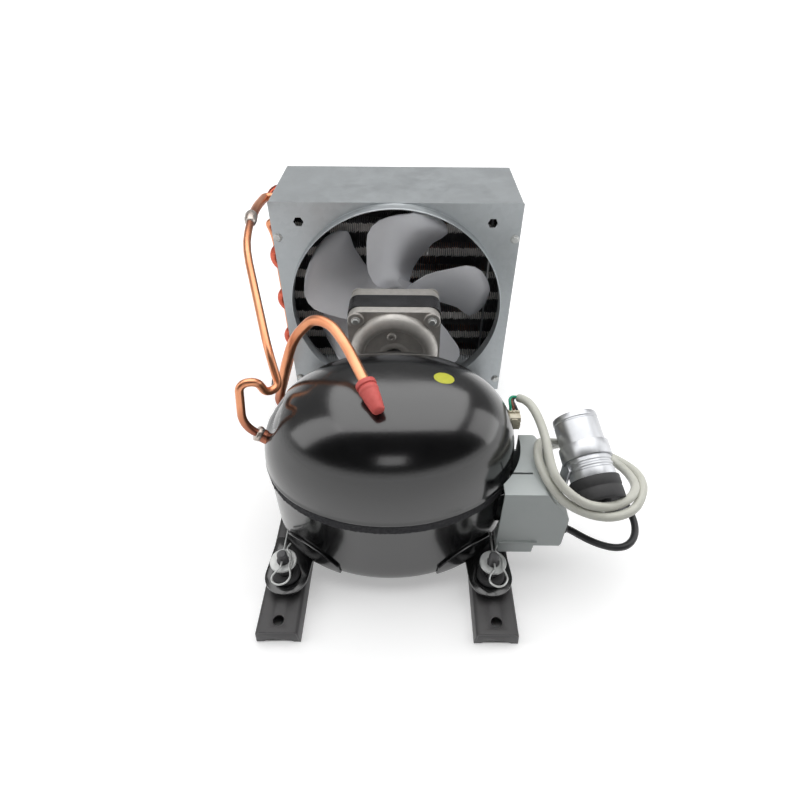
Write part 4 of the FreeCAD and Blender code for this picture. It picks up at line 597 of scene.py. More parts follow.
def show(name, data):
    """Adds an object to the scene."""
    thing = bpy.data.objects.new(name, data)
    bpy.context.scene.collection.objects.link(thing)
    return thing


def add_lamp(name, spot, target, width, depth, power):
    """A soft rectangular lamp that faces a target; places are in millimetres, its size in metres."""
    light = bpy.data.lights.new(name, "AREA")
    light.shape = "RECTANGLE"
    light.size, light.size_y = width, depth
    light.energy = power
    lamp = show(name, light)
    lamp.location = at(*spot)
    lamp.rotation_euler = (at(*target) - at(*spot)).to_track_quat("-Z", "Y").to_euler()


def add_room(level):
    """A pale room, brighter near the horizon than overhead and dark in front of the unit.

    The camera sees it white, and so does gloss and glass near the horizon.
    """
    world = bpy.data.worlds.new("Pale Room")
    bpy.context.scene.world = world
    world.use_nodes = True
    tree = world.node_tree
    background = tree.nodes["Background"].inputs
    axes = place(tree, "ShaderNodeSeparateXYZ", place(tree, "ShaderNodeTexCoord").outputs["Generated"]).outputs
    rise = remap(tree, axes["Z"], 0.04, 0.26, 1.0, level)
    light = reckon(tree, "MULTIPLY", rise, remap(tree, axes["Y"], -0.45, 0.15, 0.06, 1.0))
    path = place(tree, "ShaderNodeLightPath").outputs
    mirrored = reckon(tree, "MAXIMUM", path["Is Glossy Ray"], path["Is Transmission Ray"])
    mirrored = reckon(tree, "MULTIPLY", mirrored, remap(tree, axes["Z"], 0.06, 0.16, 1.0, 0.0))
    shown = reckon(tree, "MAXIMUM", mirrored, path["Is Camera Ray"])
    feed(tree, background["Strength"], reckon(tree, "MAXIMUM", light, shown))
    feed(tree, background["Color"], (1, 1, 1, 1))


# What the floor gives off where it's seen: its level beside the unit, and where that starts and ends its rise to white.
FLOOR_LIFT, LIFT_START, LIFT_END = 0.36, 0.5, 2.2
FLOOR_REACH, FLOOR_DROP = 14.0, 0.0004


def add_floor(colour):
    """A wide pale floor that keeps the unit's shadow; it isn't lifted under the rails, which paints shade there."""
    material = bpy.data.materials.new("Pale Floor")
    material.use_nodes = True
    tree = material.node_tree
    tree.nodes.remove(tree.nodes["Principled BSDF"])
    mottle = effect(tree, "Blotches", Scale=1.5, Contrast=0.5)
    tint = blend_colours(tree, mottle, tuple(colour), tuple(min(1.0, part * 1.01) for part in colour))
    matt = place(tree, "ShaderNodeBsdfDiffuse", Color=tint)
    path = place(tree, "ShaderNodeLightPath").outputs
    seen = reckon(tree, "MAXIMUM", path["Is Camera Ray"], path["Is Glossy Ray"])
    seen = reckon(tree, "MAXIMUM", seen, path["Is Transmission Ray"])
    where = place(tree, "ShaderNodeTexCoord").outputs["Object"]
    spot = place(tree, "ShaderNodeSeparateXYZ", where).outputs
    # Painted shade: inside the rails' footprint the floor isn't lifted, so it shows dark through their holes and open
    # ends.
    across = reckon(tree, "ABSOLUTE", reckon(tree, "SUBTRACT", spot["X"], DATUM.x * MM))
    across = reckon(tree, "ABSOLUTE", reckon(tree, "SUBTRACT", across, RAIL_X * MM))
    beside = reckon(tree, "GREATER_THAN", across, (RAIL_HALF - 1) * MM)
    before = reckon(tree, "GREATER_THAN", reckon(tree, "ABSOLUTE", spot["Y"]), (RAIL_LENGTH / 2 - 1) * MM)
    lift = reckon(tree, "MULTIPLY", seen, reckon(tree, "MAXIMUM", beside, before))
    away = place(tree, "ShaderNodeVectorMath", where, settings={"operation": "LENGTH"}).outputs["Value"]
    lift = reckon(tree, "MULTIPLY", lift, remap(tree, away, LIFT_START, LIFT_END, FLOOR_LIFT, 1.0))
    glow = place(tree, "ShaderNodeEmission", Strength=lift)
    both = place(tree, "ShaderNodeAddShader", matt.outputs[0], glow.outputs[0])
    feed(tree, tree.nodes["Material Output"].inputs["Surface"], both.outputs[0])
    mesh = bpy.data.meshes.new("floor")
    far = FLOOR_REACH
    mesh.from_pydata([(-far, -far, 0), (far, -far, 0), (far, far, 0), (-far, far, 0)], [], [(0, 1, 2, 3)])
    mesh.materials.append(material)
    floor = show("pale_floor", mesh)
    floor.location.z = -FLOOR_DROP


# Each lamp's place and target in millimetres, its width and depth in metres, and its share of the key lamp's power.
LAMPS = {
    "overhead_softbox": ((150, 540, 1300), (150, 500, 100), 2.0, 1.7, 1.0),
    "left_softbox": ((-950, -50, 750), (0, 150, 100), 0.5, 0.9, 0.12),
    "right_softbox": ((1000, 200, 480), (0, 150, 100), 0.6, 0.7, 0.09),
    "front_fill": ((0, -900, 620), (0, 100, 100), 0.35, 0.25, 0.02),
}


class CONDENSING_OT_stage(bpy.types.Operator):
    """Sets the camera, the floor and the lamps"""
    bl_idname = "condensing_unit.stage"
    bl_label = "Set Stage"

    def execute(self, context):
        look = settings().stage
        context.scene.view_settings.view_transform = "Standard"
        add_camera()
        add_floor(look.floor_colour)
        add_room(look.sky_level)
        for name, (spot, target, width, depth, share) in LAMPS.items():
            add_lamp(name, spot, target, width, depth, look.key_power * share)
        return {"FINISHED"}


# ---- Cables ----

SUPPLY_LEAD_IN = ((105, 139, 134.2), (107.6, 133.2, 137.6), (111.6, 126, 138.6), (115.4, 114, 137),
                  (118, 100, 133.6), (119, 88, 130.6), (119.6, 77, 127), (122, 67, 122.4), (128, 60, 117.2),
                  (136, 54.4, 112.8))
RING_MIDDLE = Vector((161.5, 90, 0))
# Angle in degrees, reach and height of the supply cable on its two turns round the capacitor.
SUPPLY_TURNS = ((248, 41.5, 108.4), (265, 38.0, 105.2), (284, 34.6, 102.9), (309, 33, 101.6), (336, 31.6, 98.8),
                (4, 29.8, 94.8), (30, 30.4, 91.4), (60, 33, 90), (90, 36, 93), (119, 37, 99), (142, 41, 108),
                (162, 46, 118.4), (182, 47.6, 119.2), (196, 48.2, 117.8), (211, 49.4, 115.4), (222, 47.8, 109),
                (235, 45.6, 104.4), (250, 43.9, 101.6), (268, 42.4, 99.4), (287, 41.0, 98.2), (307, 39.6, 97.6),
                (331, 37.6, 97), (351, 37.8, 95.2), (12, 37.9, 92.4), (33, 37.6, 88.8), (52, 38.6, 86.2),
                (76, 40, 85.2), (100, 41, 88.6), (121, 41, 95), (141, 40, 102.4), (156, 38.8, 107.6),
                (168, 37.6, 109.6))
SUPPLY_LEAD_OUT = ((124.5, 88.0, 109.8), (124.7, 83.5, 109.2), (125.2, 79.2, 107.9), (125.8, 75.2, 105.8),
                   (126.7, 71.6, 103.2), (127.8, 68.6, 100.0), (129.4, 64.7, 95.0))
CORE_RUN = ((99.4, 126.0, 130.4), (99.0, 128.2, 132.8), (98.2, 131.4, 134.6), (98.0, 135.0, 135.4),
            (99.8, 138.2, 135.2), (102.6, 139.6, 134.6), (105.4, 138.8, 134.4))
LINK_RUN = ((133, 64, 66), (139, 63.6, 64.6), (145, 61.6, 62.8), (151, 58.2, 61.4), (158, 53.7, 61),
            (166, 49.5, 61.2), (174.5, 46.8, 61.8), (182.5, 47.2, 62.2), (189.5, 51.5, 62.4), (194.7, 59, 62.4),
            (197.3, 68, 62.8), (197, 77.5, 63.8), (194, 88, 66))


def supply_places():
    """Control points of the supply cable, from its cores round the capacitor to the relay cover."""
    places = [Vector(spot) for spot in SUPPLY_LEAD_IN]
    for degrees, reach, height in SUPPLY_TURNS:
        angle = math.radians(degrees)
        places.append(RING_MIDDLE + Vector((reach * math.cos(angle), reach * math.sin(angle), height)))
    return smooth_route(places + [Vector(spot) for spot in SUPPLY_LEAD_OUT], 2)


def cable_curve(name, places, radius, finish, stands_for):
    """A cable as one soft curve; the places are its control points in millimetres."""
    curve = bpy.data.curves.new(name, "CURVE")
    curve.dimensions = "3D"
    curve.bevel_depth = radius
    curve.bevel_resolution = 5
    curve.resolution_u = 10
    curve.use_fill_caps = True
    spline = curve.splines.new("NURBS")
    spline.points.add(len(places) - 1)
    for point, spot in zip(spline.points, places):
        point.co = (*at(*spot), 1.0)
    spline.order_u = 3
    spline.use_endpoint_u = True
    piece = show(name, curve)
    curve.materials.append(surface(finish))
    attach(piece, "unit")
    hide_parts(*stands_for)
    return piece


CORE_FINISHES = ("green_core", "brown_core", "black_cable")
CORE_RADIUS = 1.1
CORE_SPREAD = 3.0


def connector_piece():
    """A moulded connector: housing, wire collars, latch and ribs."""
    housing = Shape().block((94.6, 119.2, 118.1), (104.2, 129.0, 130.4))
    for across in (96.4, 99.4, 102.4):
        housing.merged(Shape().turned(((1.5, 0), (1.5, 1.6), (1.2, 2.0)), (across, 126.2, 130.2), ALONG_Z, 16))
    for height in (120.3, 122.6, 126.2):
        housing.merged(Shape().block((94.1, 118.9, height), (104.7, 127.5, height + 0.8)))
    housing.merged(Shape().block((97.0, 118.3, 121.6), (101.8, 124.5, 129.4)))
    return piece_of("wire_connector_housing", housing, "connector_plastic", stands_for=("wire_connector",), edge=0.35)


class CONDENSING_OT_cables(bpy.types.Operator):
    """Lays the supply cable with its cores and connector, and the capacitor's cable"""
    bl_idname = "condensing_unit.cables"
    bl_label = "Lay Cables"

    def execute(self, context):
        look = settings().cable
        for step, finish in zip((-1, 0, 1), CORE_FINISHES):
            route = []
            for index, spot in enumerate(CORE_RUN):
                share = index / (len(CORE_RUN) - 1)
                lift = (1.4, 0.0, -0.8)[step + 1] * math.sin(math.pi * share)
                aside = Vector((step * CORE_SPREAD * (1 - share), step * 1.3 * share, lift - step * 0.7 * share))
                route.append(Vector(spot) + aside)
            shape = Shape().swept(smooth_route(route, 5), CORE_RADIUS, 12)
            stands_for = ("core_wires",) if step == 0 else ()
            piece_of(f"core_wire_{step + 2}", shape, finish, stands_for=stands_for)
        housing = connector_piece()
        places = list(reversed(supply_places()))
        supply = cable_curve("supply_cable_jacket", places, look.supply_radius, "white_cable",
                             ("supply_cable", "supply_cable_loops"))
        link = cable_curve("capacitor_cable_jacket", LINK_RUN, look.link_radius, "black_cable", ("capacitor_cable",))
        return {"FINISHED"}


# ---- Compressor ----

SHELL_Y = 112.0
DOME_ROUND, BOWL_ROUND, DOME_LEAN = 2.6, 12.0, 5.0
BOWL_GROW, DOME_GROW = 1.7, 3.1
TIP_SHARE = 0.02
SKIRT_LOW = 98.0
BELT_LOW, BELT_HIGH, BELT_REACH, BELT_RIPPLES = 86.4, 99.0, 2.75, 170
# Height, width and depth of the bowl's beads.
BOWL_BEADS = ((84, 1.4, 0.9), (77, 1.6, 0.3))
# Middle, half width, half height and depth of the dimple, which is pressed in left of a place across.
DIMPLE = ((-94, 113, 140), 24.0, 12.0, 8.0)
DIMPLE_SIDE = -60
DOT_MIDDLE, DOT_REACH, DOT_SQUASH, DOT_GAUGE = (41.0, 115.0), 7.6, 0.84, 0.22


def level_share(level, roundness):
    """Share of a shell's width at a share of its height."""
    return max(0.0, 1 - min(1.0, level) ** roundness) ** (1 / roundness)


def rounding(rows, roundness):
    """Shares of a shell's width and height, on the way from its side to its middle."""
    turns = [math.pi / 2 * row / rows for row in range(rows + 1)]
    return [(math.cos(turn) ** (2 / roundness), math.sin(turn) ** (2 / roundness)) for turn in turns]


def shell_ring(share, grow, height, lean, sides):
    """A level ring round the compressor, grown outwards by some millimetres."""
    wide, deep = share * (shell_size("half_width") + grow), share * (shell_size("half_depth") + grow)
    return [Vector((lean + wide * a, SHELL_Y + deep * b, height)) for a, b in spokes(sides)]


def dome_rings(grow, drop, rows, sides, low):
    """Rings of the dome from its skirt's lower edge to near its top."""
    seam, top = shell_size("seam"), shell_size("top") - drop
    rings = [shell_ring(1, grow, height, 0, sides) for height in low]
    for share, level in rounding(rows, DOME_ROUND)[1:-1]:
        height = seam + level * (top - seam)
        if height > low[-1] + 0.5:
            rings.append(shell_ring(share, grow, height, DOME_LEAN * level ** 2, sides))
    rings.append(shell_ring(TIP_SHARE, grow, top, DOME_LEAN, sides))
    return rings


def outward(vertex):
    """The level direction from the compressor's axis to a vertex."""
    return Vector((vertex.x, vertex.y - SHELL_Y, 0)).normalized()


def dome_height(x, y):
    """Height of the dome's outside above a place."""
    seam, top = shell_size("seam"), shell_size("top")
    low, high = 0.0, 1.0
    for _ in range(30):
        level = (low + high) / 2
        wide, deep = shell_size("half_width") + DOME_GROW, shell_size("half_depth") + DOME_GROW
        reach = math.hypot((x - DOME_LEAN * level ** 2) / wide, (y - SHELL_Y) / deep)
        if reach < level_share(level, DOME_ROUND):
            low = level
        else:
            high = level
    return seam + low * (top - seam)


def upper_shell():
    """The dome with its rolled skirt and the pressed dimple on its left."""
    sides, rows = 220, 54
    outside = dome_rings(DOME_GROW, 0, rows, sides, (SKIRT_LOW + 0.3, SKIRT_LOW + 0.9, SKIRT_LOW + 1.8))
    for ring, grow in zip(outside[:3], (-0.4, 0.2, 0.3)):
        for vertex in ring:
            vertex += outward(vertex) * grow
    inside = dome_rings(0.1, 3, 16, sides, (SKIRT_LOW, SKIRT_LOW + 1))
    (_, middle_y, middle_z), wide, tall, deep = DIMPLE
    for vertex in (vertex for ring in outside for vertex in ring if vertex.x < DIMPLE_SIDE):
        away = math.hypot((vertex.y - middle_y) / wide, (vertex.z - middle_z) / tall)
        if away < 1:
            vertex.x += deep * (1 - away * away) ** 1.2
    piece_of("compressor_dome", Shape().rings(list(reversed(inside)) + outside), "body_paint",
             stands_for=("upper_shell",), sharp=50)


def lower_shell():
    """The bowl, with two slight beads where the die closed."""
    sides, rows = 180, 34
    seam, floor = shell_size("seam"), shell_size("floor")
    layers = []
    for grow, bottom in ((BOWL_GROW - 3, floor + shell_size("gauge")), (BOWL_GROW, floor)):
        layer = [shell_ring(1, grow, seam, 0, sides)]
        for share, level in rounding(rows, BOWL_ROUND)[1:-1]:
            layer.append(shell_ring(share, grow, seam + level * (bottom - seam), 0, sides))
        layers.append(layer + [shell_ring(TIP_SHARE, grow, bottom, 0, sides)])
    inside, outside = layers
    for vertex in (vertex for ring in outside for vertex in ring):
        vertex += outward(vertex) * sum(tall * math.exp(-((vertex.z - height) / wide) ** 2)
                                        for height, wide, tall in BOWL_BEADS)
    piece_of("compressor_bowl", Shape().rings(list(reversed(inside)) + outside), "body_paint",
             stands_for=("lower_shell",), sharp=50)


def weld_bead():
    """The rough belt of weld under the skirt."""
    sides, rows = 720, 12
    rings = []
    for row in range(rows + 1):
        share = row / rows
        bulge = min(1.0, 5 * share, 5 * (1 - share) + 0.4)
        ring = shell_ring(1, 0, BELT_LOW + (BELT_HIGH - BELT_LOW) * share, 0, sides)
        for step, (vertex, (a, b)) in enumerate(zip(ring, spokes(sides))):
            lump = noise.noise(vertex * 0.5) * 0.55 + noise.noise(vertex * 1.3 + ALONG_Z * 9) * 0.30
            ripple = 0.16 * math.sin(2 * math.pi * step / sides * BELT_RIPPLES + 2.5 * share)
            vertex += Vector((a, b, 0)) * (bulge * (BELT_REACH + lump + ripple) - 0.2)
        rings.append(ring)
    inner = [shell_ring(1, -0.8, height, 0, sides) for height in (BELT_HIGH, BELT_LOW)]
    piece_of("compressor_seam_weld", Shape().rings(rings + inner, closed=True), "weld", stands_for=("seam_weld",),
             sharp=180)


# Inner end, outer end and bore.
STUBS = {
    "discharge_stub": ((-88, 100, 121.5), (-100, 100, 130.5), 3.4),
    "suction_stub": ((-76, 140, 112), (-91, 150, 114), 4.2),
}


def stub_piece(node):
    """A flared stub."""
    inner, outer, bore = (Vector(STUBS[node][0]), Vector(STUBS[node][1]), STUBS[node][2])
    length = (outer - inner).length
    profile = ((bore, -2), (6.6, -2), (6.2, 2), (5.2, 5), (5.2, length - 1.6), (5.0, length - 0.5), (4.4, length),
               (bore, length))
    shape = Shape().turned(profile, inner, (outer - inner).normalized(), 40, closed=True)
    piece_of(node + "_fitting", shape, "copper", stands_for=(node,), sharp=40)


def braze_ring(name, spot, along, radius):
    """A smear of silver braze round a line."""
    turns = [math.pi * step / 8 for step in range(9)]
    profile = [(radius - 0.4 + 1.5 * math.sin(turn), -2.4 * math.cos(turn)) for turn in turns]
    shape = Shape().turned(profile, spot, along, 40)
    for vertex in shape.vertices:
        vertex += Vector((noise.noise(vertex * 0.5), noise.noise(vertex * 0.5 + ALONG_X * 9), 0)) * 0.4
    piece_of(name, shape, "silver_braze", sharp=60)


def paint_dot():
    """A plain dot of marking paint on the dome."""
    middle_x, middle_y = DOT_MIDDLE
    layers = []
    for lift in (0.0, DOT_GAUGE):
        layer = []
        for row in range(7):
            share = 0.02 + 0.98 * row / 6
            ring = [Vector((middle_x + DOT_REACH * share * a, middle_y + DOT_REACH * DOT_SQUASH * share * b, 0))
                    for a, b in spokes(40)]
            for vertex in ring:
                vertex.z = dome_height(vertex.x, vertex.y) + lift - 0.05
            layer.append(ring)
        layers.append(layer)
    piece_of("marking_dot", Shape().rings(layers[0] + list(reversed(layers[1]))), "marking_paint")


class CONDENSING_OT_compressor(bpy.types.Operator):
    """Presses the compressor's shells and adds their weld, stubs and marking dot"""
    bl_idname = "condensing_unit.compressor"
    bl_label = "Press Compressor"

    def execute(self, context):
        upper_shell()
        lower_shell()
        weld_bead()
        for node in STUBS:
            stub_piece(node)
        braze_ring("discharge_braze", (-99, 100, 129.75), (-12, 0, 9), 5.0)
        braze_ring("suction_braze", (-89.8, 149.2, 113.8), (-15, 10, 2), 5.2)
        paint_dot()
        return {"FINISHED"}


# ---- Feet ----

STUD_X, STUD_FRONT, STUD_REAR = 82.5, 43.0, 181.0
FOOT_LOW, FOOT_HIGH = 23.5, 26.5
FEET = (("front_left", -1, -1), ("front_right", 1, -1), ("rear_left", -1, 1), ("rear_right", 1, 1))
FOOT_ROUND, FOOT_HOLE, ARM_LIMIT = 17.7, 8.7, 34.0
FLANGE_HALF, FLANGE_TOP, FLANGE_GROW = 17.5, 50, 2.2


def stud_place(side, end, height=0.0):
    """The middle of a stud at a height."""
    return Vector((side * STUD_X, STUD_REAR if end > 0 else STUD_FRONT, height))


def bowl_place(angle, height, grow):
    """A place on the lower shell's side, grown outwards."""
    seam, floor = shell_size("seam"), shell_size("floor")
    share = level_share((seam - height) / (seam - floor), BOWL_ROUND)
    wide, deep = share * shell_size("half_width") + grow, share * shell_size("half_depth") + grow
    return Vector((wide * math.cos(angle), SHELL_Y + deep * math.sin(angle), height))


def foot_plate(name, side, end):
    """A rounded plate round the grommet, whose arm ends on the shell."""
    stud = stud_place(side, end)
    inward = Vector((-side * 0.1, -end, 0)).normalized()
    across = Vector((-inward.y, inward.x, 0))
    wide, deep = (shell_size(key) + BOWL_GROW - 0.6 for key in ("half_width", "half_depth"))
    rim = []
    for step in range(9):
        start = stud + across * (FOOT_ROUND * (step / 4 - 1))
        a = (inward.x / wide) ** 2 + (inward.y / deep) ** 2
        b = start.x * inward.x / wide ** 2 + (start.y - SHELL_Y) * inward.y / deep ** 2
        c = (start.x / wide) ** 2 + ((start.y - SHELL_Y) / deep) ** 2 - 1
        reach = (-b - math.sqrt(max(0.0, b * b - a * c))) / a
        rim.append(start + inward * min(reach, ARM_LIMIT))
    turns = [math.pi / 2 + math.pi * step / 24 for step in range(25)]
    outline = [stud + inward * (FOOT_ROUND * math.cos(turn)) + across * (FOOT_ROUND * math.sin(turn)) for turn in turns]
    plate = Shape().prism([(spot.x, spot.y) for spot in outline + rim], FOOT_LOW, FOOT_HIGH - FOOT_LOW, "Z")
    hole = Shape().turned(((FOOT_HOLE, 20), (FOOT_HOLE, 30)), stud, ALONG_Z, 40)
    piece_of(f"foot_bracket_{name}", plate, "body_paint", stands_for=(f"foot_{name}",), edge=0.7,
             steps=2, sharp=40, cutters=[hole])


def foot_flange(name, side, end):
    """A flange that lies on the shell above a foot."""
    stud = stud_place(side, end)
    middle = math.atan2((stud.y - SHELL_Y) / shell_size("half_depth"), stud.x / shell_size("half_width"))
    columns, rows = 36, 14
    rings = []
    for column in range(columns + 1):
        share = 2 * column / columns - 1
        forward = share * side * -end
        top = FLANGE_TOP - (9 if forward > 0 else 15) * abs(share) ** 2.2
        low = FOOT_LOW - 3.2 * max(0.0, forward)
        outer, inner = ([bowl_place(middle + math.radians(FLANGE_HALF) * share, low + (top - low) * row / rows,
                                    BOWL_GROW + grow) for row in range(rows + 1)] for grow in (FLANGE_GROW, 0.1))
        rings.append(outer + list(reversed(inner)))
    piece_of(f"foot_flange_{name}", Shape().rings(rings), "body_paint", edge=0.6, steps=2, sharp=40)


def at_each_stud(profile, sides, closed=True):
    """The same turned shape round all four studs."""
    shape = Shape()
    for _, side, end in FEET:
        shape.turned(profile, stud_place(side, end), ALONG_Z, sides, closed=closed)
    return shape


GROMMET = ((5.5, 15), (12.4, 15), (13.4, 15.8), (13.6, 17.5), (13.0, 19.2), (12.2, 20), (13.1, 21), (13.2, 22.6),
           (12.2, 23.4), (8.7, 23.5), (8.5, 25), (8.8, 26.5), (10.2, 26.6), (11.0, 27.4), (11.1, 29.4), (10.5, 31),
           (9.2, 31.5), (5.5, 31.5))
SLEEVE = ((4.4, 15), (5.3, 15), (5.3, 43.6), (5.8, 44.6), (5.6, 45), (4.4, 45))
WASHER = ((5.0, 45.1), (10.1, 45.1), (10.5, 45.5), (10.5, 46.4), (10.1, 46.8), (5.0, 46.8))
CLIP_RUN = ((0, 25), (0, 12), (0, 2), (0, -8), (-3.2, -12.6), (-5.0, -17), (-3.6, -21), (1.0, -23.2), (5.8, -21.6),
            (8.6, -17), (8.0, -12), (6.4, -7), (6.9, -1), (5.2, 4), (2.8, 7), (2.8, 9.6), (4.2, 12.6))


CLIP_HEIGHT, CLIP_WIRE = 50.5, 0.75


def stud_profile():
    """A stud with a rolled thread above its plain shank."""
    profile = [(7, 10.1), (7, 12.6), (6.6, 13), (3.9, 13), (3.9, 24)]
    height = 24.0
    while height < 54.4:
        profile += [(3.9, height), (3.45, height + 0.35), (3.9, height + 0.7)]
        height += 0.75
    return profile + [(3.7, 55.2), (2.9, 56)]


class CONDENSING_OT_feet(bpy.types.Operator):
    """Welds the feet and stands them on grommets, studs, washers and clips"""
    bl_idname = "condensing_unit.feet"
    bl_label = "Weld Feet"

    def execute(self, context):
        clips = Shape()
        for name, side, end in FEET:
            foot_plate(name, side, end)
            foot_flange(name, side, end)
            route = [stud_place(side, end, CLIP_HEIGHT) + Vector((x, y, 0)) for x, y in CLIP_RUN]
            clips.swept(smooth_route(route, 5), CLIP_WIRE, 12)
        piece_of("grommets", at_each_stud(GROMMET, 48), "rubber", stands_for=("rubber_grommets",), sharp=50)
        piece_of("sleeves", at_each_stud(SLEEVE, 36), "steel", stands_for=("spacer_sleeves",))
        piece_of("washers", at_each_stud(WASHER, 48), "zinc", stands_for=("retaining_washers",))
        piece_of("studs", at_each_stud(stud_profile(), 28, closed=False), "iron",
                 stands_for=("mounting_studs",), sharp=25)
        piece_of("hairpin_clip_set", clips, "zinc", stands_for=("hairpin_clips",))
        return {"FINISHED"}


# ---- Rails ----

RAIL_X, RAIL_HALF, RAIL_TALL, RAIL_LENGTH = 85.0, 17.5, 15.0, 420.0
HOLE_RADIUS, HOLE_Y = 4.2, (10, 410)


def rail_piece(name, side):
    """An inverted channel with rounded bends and an arched flange at each end."""
    middle, lean, gauge = side * RAIL_X, 1.2, 2.0
    outer = [(middle - RAIL_HALF, 0), (middle - RAIL_HALF + lean, RAIL_TALL), (middle + RAIL_HALF - lean, RAIL_TALL),
             (middle + RAIL_HALF, 0)]
    inner = [(middle + RAIL_HALF - gauge, 0), (middle + RAIL_HALF - lean - gauge, RAIL_TALL - gauge),
             (middle - RAIL_HALF + lean + gauge, RAIL_TALL - gauge), (middle - RAIL_HALF + gauge, 0)]
    outline = rounded_outline(outer + inner, [0, 3.4, 3.4, 0, 0, 1.6, 1.6, 0], 6)
    channel = Shape().prism(outline, 0, RAIL_LENGTH, "Y")
    for start in (0.05, RAIL_LENGTH - gauge - 0.05):
        arch = [(middle + RAIL_HALF - 1, 0), (middle + RAIL_HALF - lean - 1.2, RAIL_TALL - 1.4),
                (middle - RAIL_HALF + lean + 1.2, RAIL_TALL - 1.4), (middle - RAIL_HALF + 1, 0)]
        for step in range(13):
            angle = math.radians(127 - 74 * step / 12)
            arch.append((middle + 20 * math.cos(angle), max(0.0, 20 * math.sin(angle) - 16)))
        channel.merged(Shape().prism(arch, start, gauge, "Y"))
    holes = [Shape().turned(((HOLE_RADIUS, -5), (HOLE_RADIUS, 25)), (middle, y, 0), ALONG_Z, 40) for y in HOLE_Y]
    piece = piece_of(name + "_channel", channel, "rail_paint", stands_for=(name,), cutters=holes, sharp=30)
    softened(piece, 0.35, 2, limit=50)


class CONDENSING_OT_rails(bpy.types.Operator):
    """Folds the two base rails"""
    bl_idname = "condensing_unit.rails"
    bl_label = "Fold Rails"

    def execute(self, context):
        rail_piece("rail_left", -1)
        rail_piece("rail_right", 1)
        return {"FINISHED"}


# ---- Refrigerant lines ----

DISCHARGE_RUN = ((-91, 100, 123.75), (-110, 100, 138), (-108, 108, 172), (-96, 112, 172), (-92, 116, 157),
                 (-84, 124, 157), (-92, 140, 181), (-122, 229, 222), (-126, 270, 227))
INLET_RUN = ((-126.1, 274, 227.2), (-127.5, 300, 227), (-128.5, 338, 222), (-117.1, 338, 222))
SUCTION_RUN = ((-85, 146, 113.2), (-96.4, 153.6, 114.72), (-84, 151, 157), (-73, 150, 185), (-56, 148, 203),
               (-42, 139, 204), (-31, 124, 199), (-21, 106, 191), (-11, 86, 183.4))
LIQUID_RUN = ((-117.1, 338, 196.6), (-131, 340, 196.6), (-128.5, 349.4, 176), (-128.5, 349.4, 46), (-127, 334, 32),
              (-126, 262, 32), (-118, 232, 60), (-117, 222, 80))
NARROW_LINE, WIDE_LINE = 3.175, 3.97


LINES = (
    ("discharge_line", DISCHARGE_RUN, NARROW_LINE, "discharge_tube"),
    ("coil_inlet_line", INLET_RUN, WIDE_LINE, "coil_inlet_tube"),
    ("suction_line", SUCTION_RUN, WIDE_LINE, "suction_tube"),
    ("liquid_line", LIQUID_RUN, NARROW_LINE, "liquid_tube"),
)
# Each plug's line, finish and node, the radii of its collar, waist and nose, and how far it covers the line and
# reaches beyond it.
PLUGS = (
    ("suction_plug_cap", SUCTION_RUN, "red_rubber", "suction_cap", (7.35, 6.5, 4.6), 9, 16),
    ("liquid_plug_cap", LIQUID_RUN, "rubber", "liquid_cap", (5.8, 5.0, 3.6), 10, 8),
)


def joint_piece():
    """The swaged joint between the discharge line and the coil, run with silver braze."""
    start = Vector(DISCHARGE_RUN[-1])
    along = (Vector(INLET_RUN[0]) - Vector(DISCHARGE_RUN[-2])).normalized()
    profile = ((3.4, -6), (4.3, -4.6), (5.0, -3.0), (5.2, -1.2), (5.4, 0.4), (5.3, 3.0), (5.4, 6.6), (5.1, 8.2),
               (4.4, 9.4), (3.8, 10.2))
    shape = Shape().turned(profile, start, along, 40)
    for vertex in shape.vertices:
        vertex += Vector((noise.noise(vertex * 0.4), noise.noise(vertex * 0.4 + ALONG_X * 7),
                          noise.noise(vertex * 0.4 + ALONG_Y * 7))) * 0.4
    piece_of("brazed_joint_sleeve", shape, "silver_braze", stands_for=("brazed_joint",), sharp=70)


def plug_piece(name, places, finish, node, radii, covers, beyond):
    """A push-on plug with two collars and a tapered nose."""
    route = bent_route(places)
    end, along = route[-1], (route[-1] - route[-2]).normalized()
    collar, waist, nose = radii
    profile = [(collar * 0.62, -covers), (collar * 0.94, -covers), (collar, -covers + 0.7), (collar, -covers + 3.4),
               (collar * 0.86, -covers + 4.2), (collar * 0.86, -covers + 5.0), (collar * 0.96, -covers + 5.8),
               (collar * 0.96, -covers + 7.6), (waist, -covers + 8.6)]
    length = beyond + covers - 10.6
    for step in range(9):
        share = step / 8
        profile.append((waist + (nose - waist) * share ** 1.3, -covers + 8.8 + length * share))
    profile += [(nose * 0.86, beyond - 0.6), (nose * 0.5, beyond)]
    shape = Shape().turned(profile, end, along, 44)
    piece_of(name, shape, finish, body=name.replace("_cap", ""), stands_for=(node,), sharp=50)


class CONDENSING_OT_lines(bpy.types.Operator):
    """Bends the refrigerant lines and fits their joint and plugs"""
    bl_idname = "condensing_unit.lines"
    bl_label = "Bend Lines"

    def execute(self, context):
        for name, places, radius, node in LINES:
            line = Shape().swept(bent_route(places), radius, 28)
            piece_of(name, line, "copper", stands_for=(node,))
        joint_piece()
        for name, places, finish, node, radii, covers, beyond in PLUGS:
            plug_piece(name, places, finish, node, radii, covers, beyond)
        return {"FINISHED"}


# ---- Relay cover ----

COVER_X, COVER_Y, COVER_Z = (86.0, 138.0), (57.0, 119.0), (45.0, 112.0)
BEVEL_WIDE, BEVEL_TALL, COVER_WALL, COVER_CLEAR = 21, 28, 2.0, 5.0


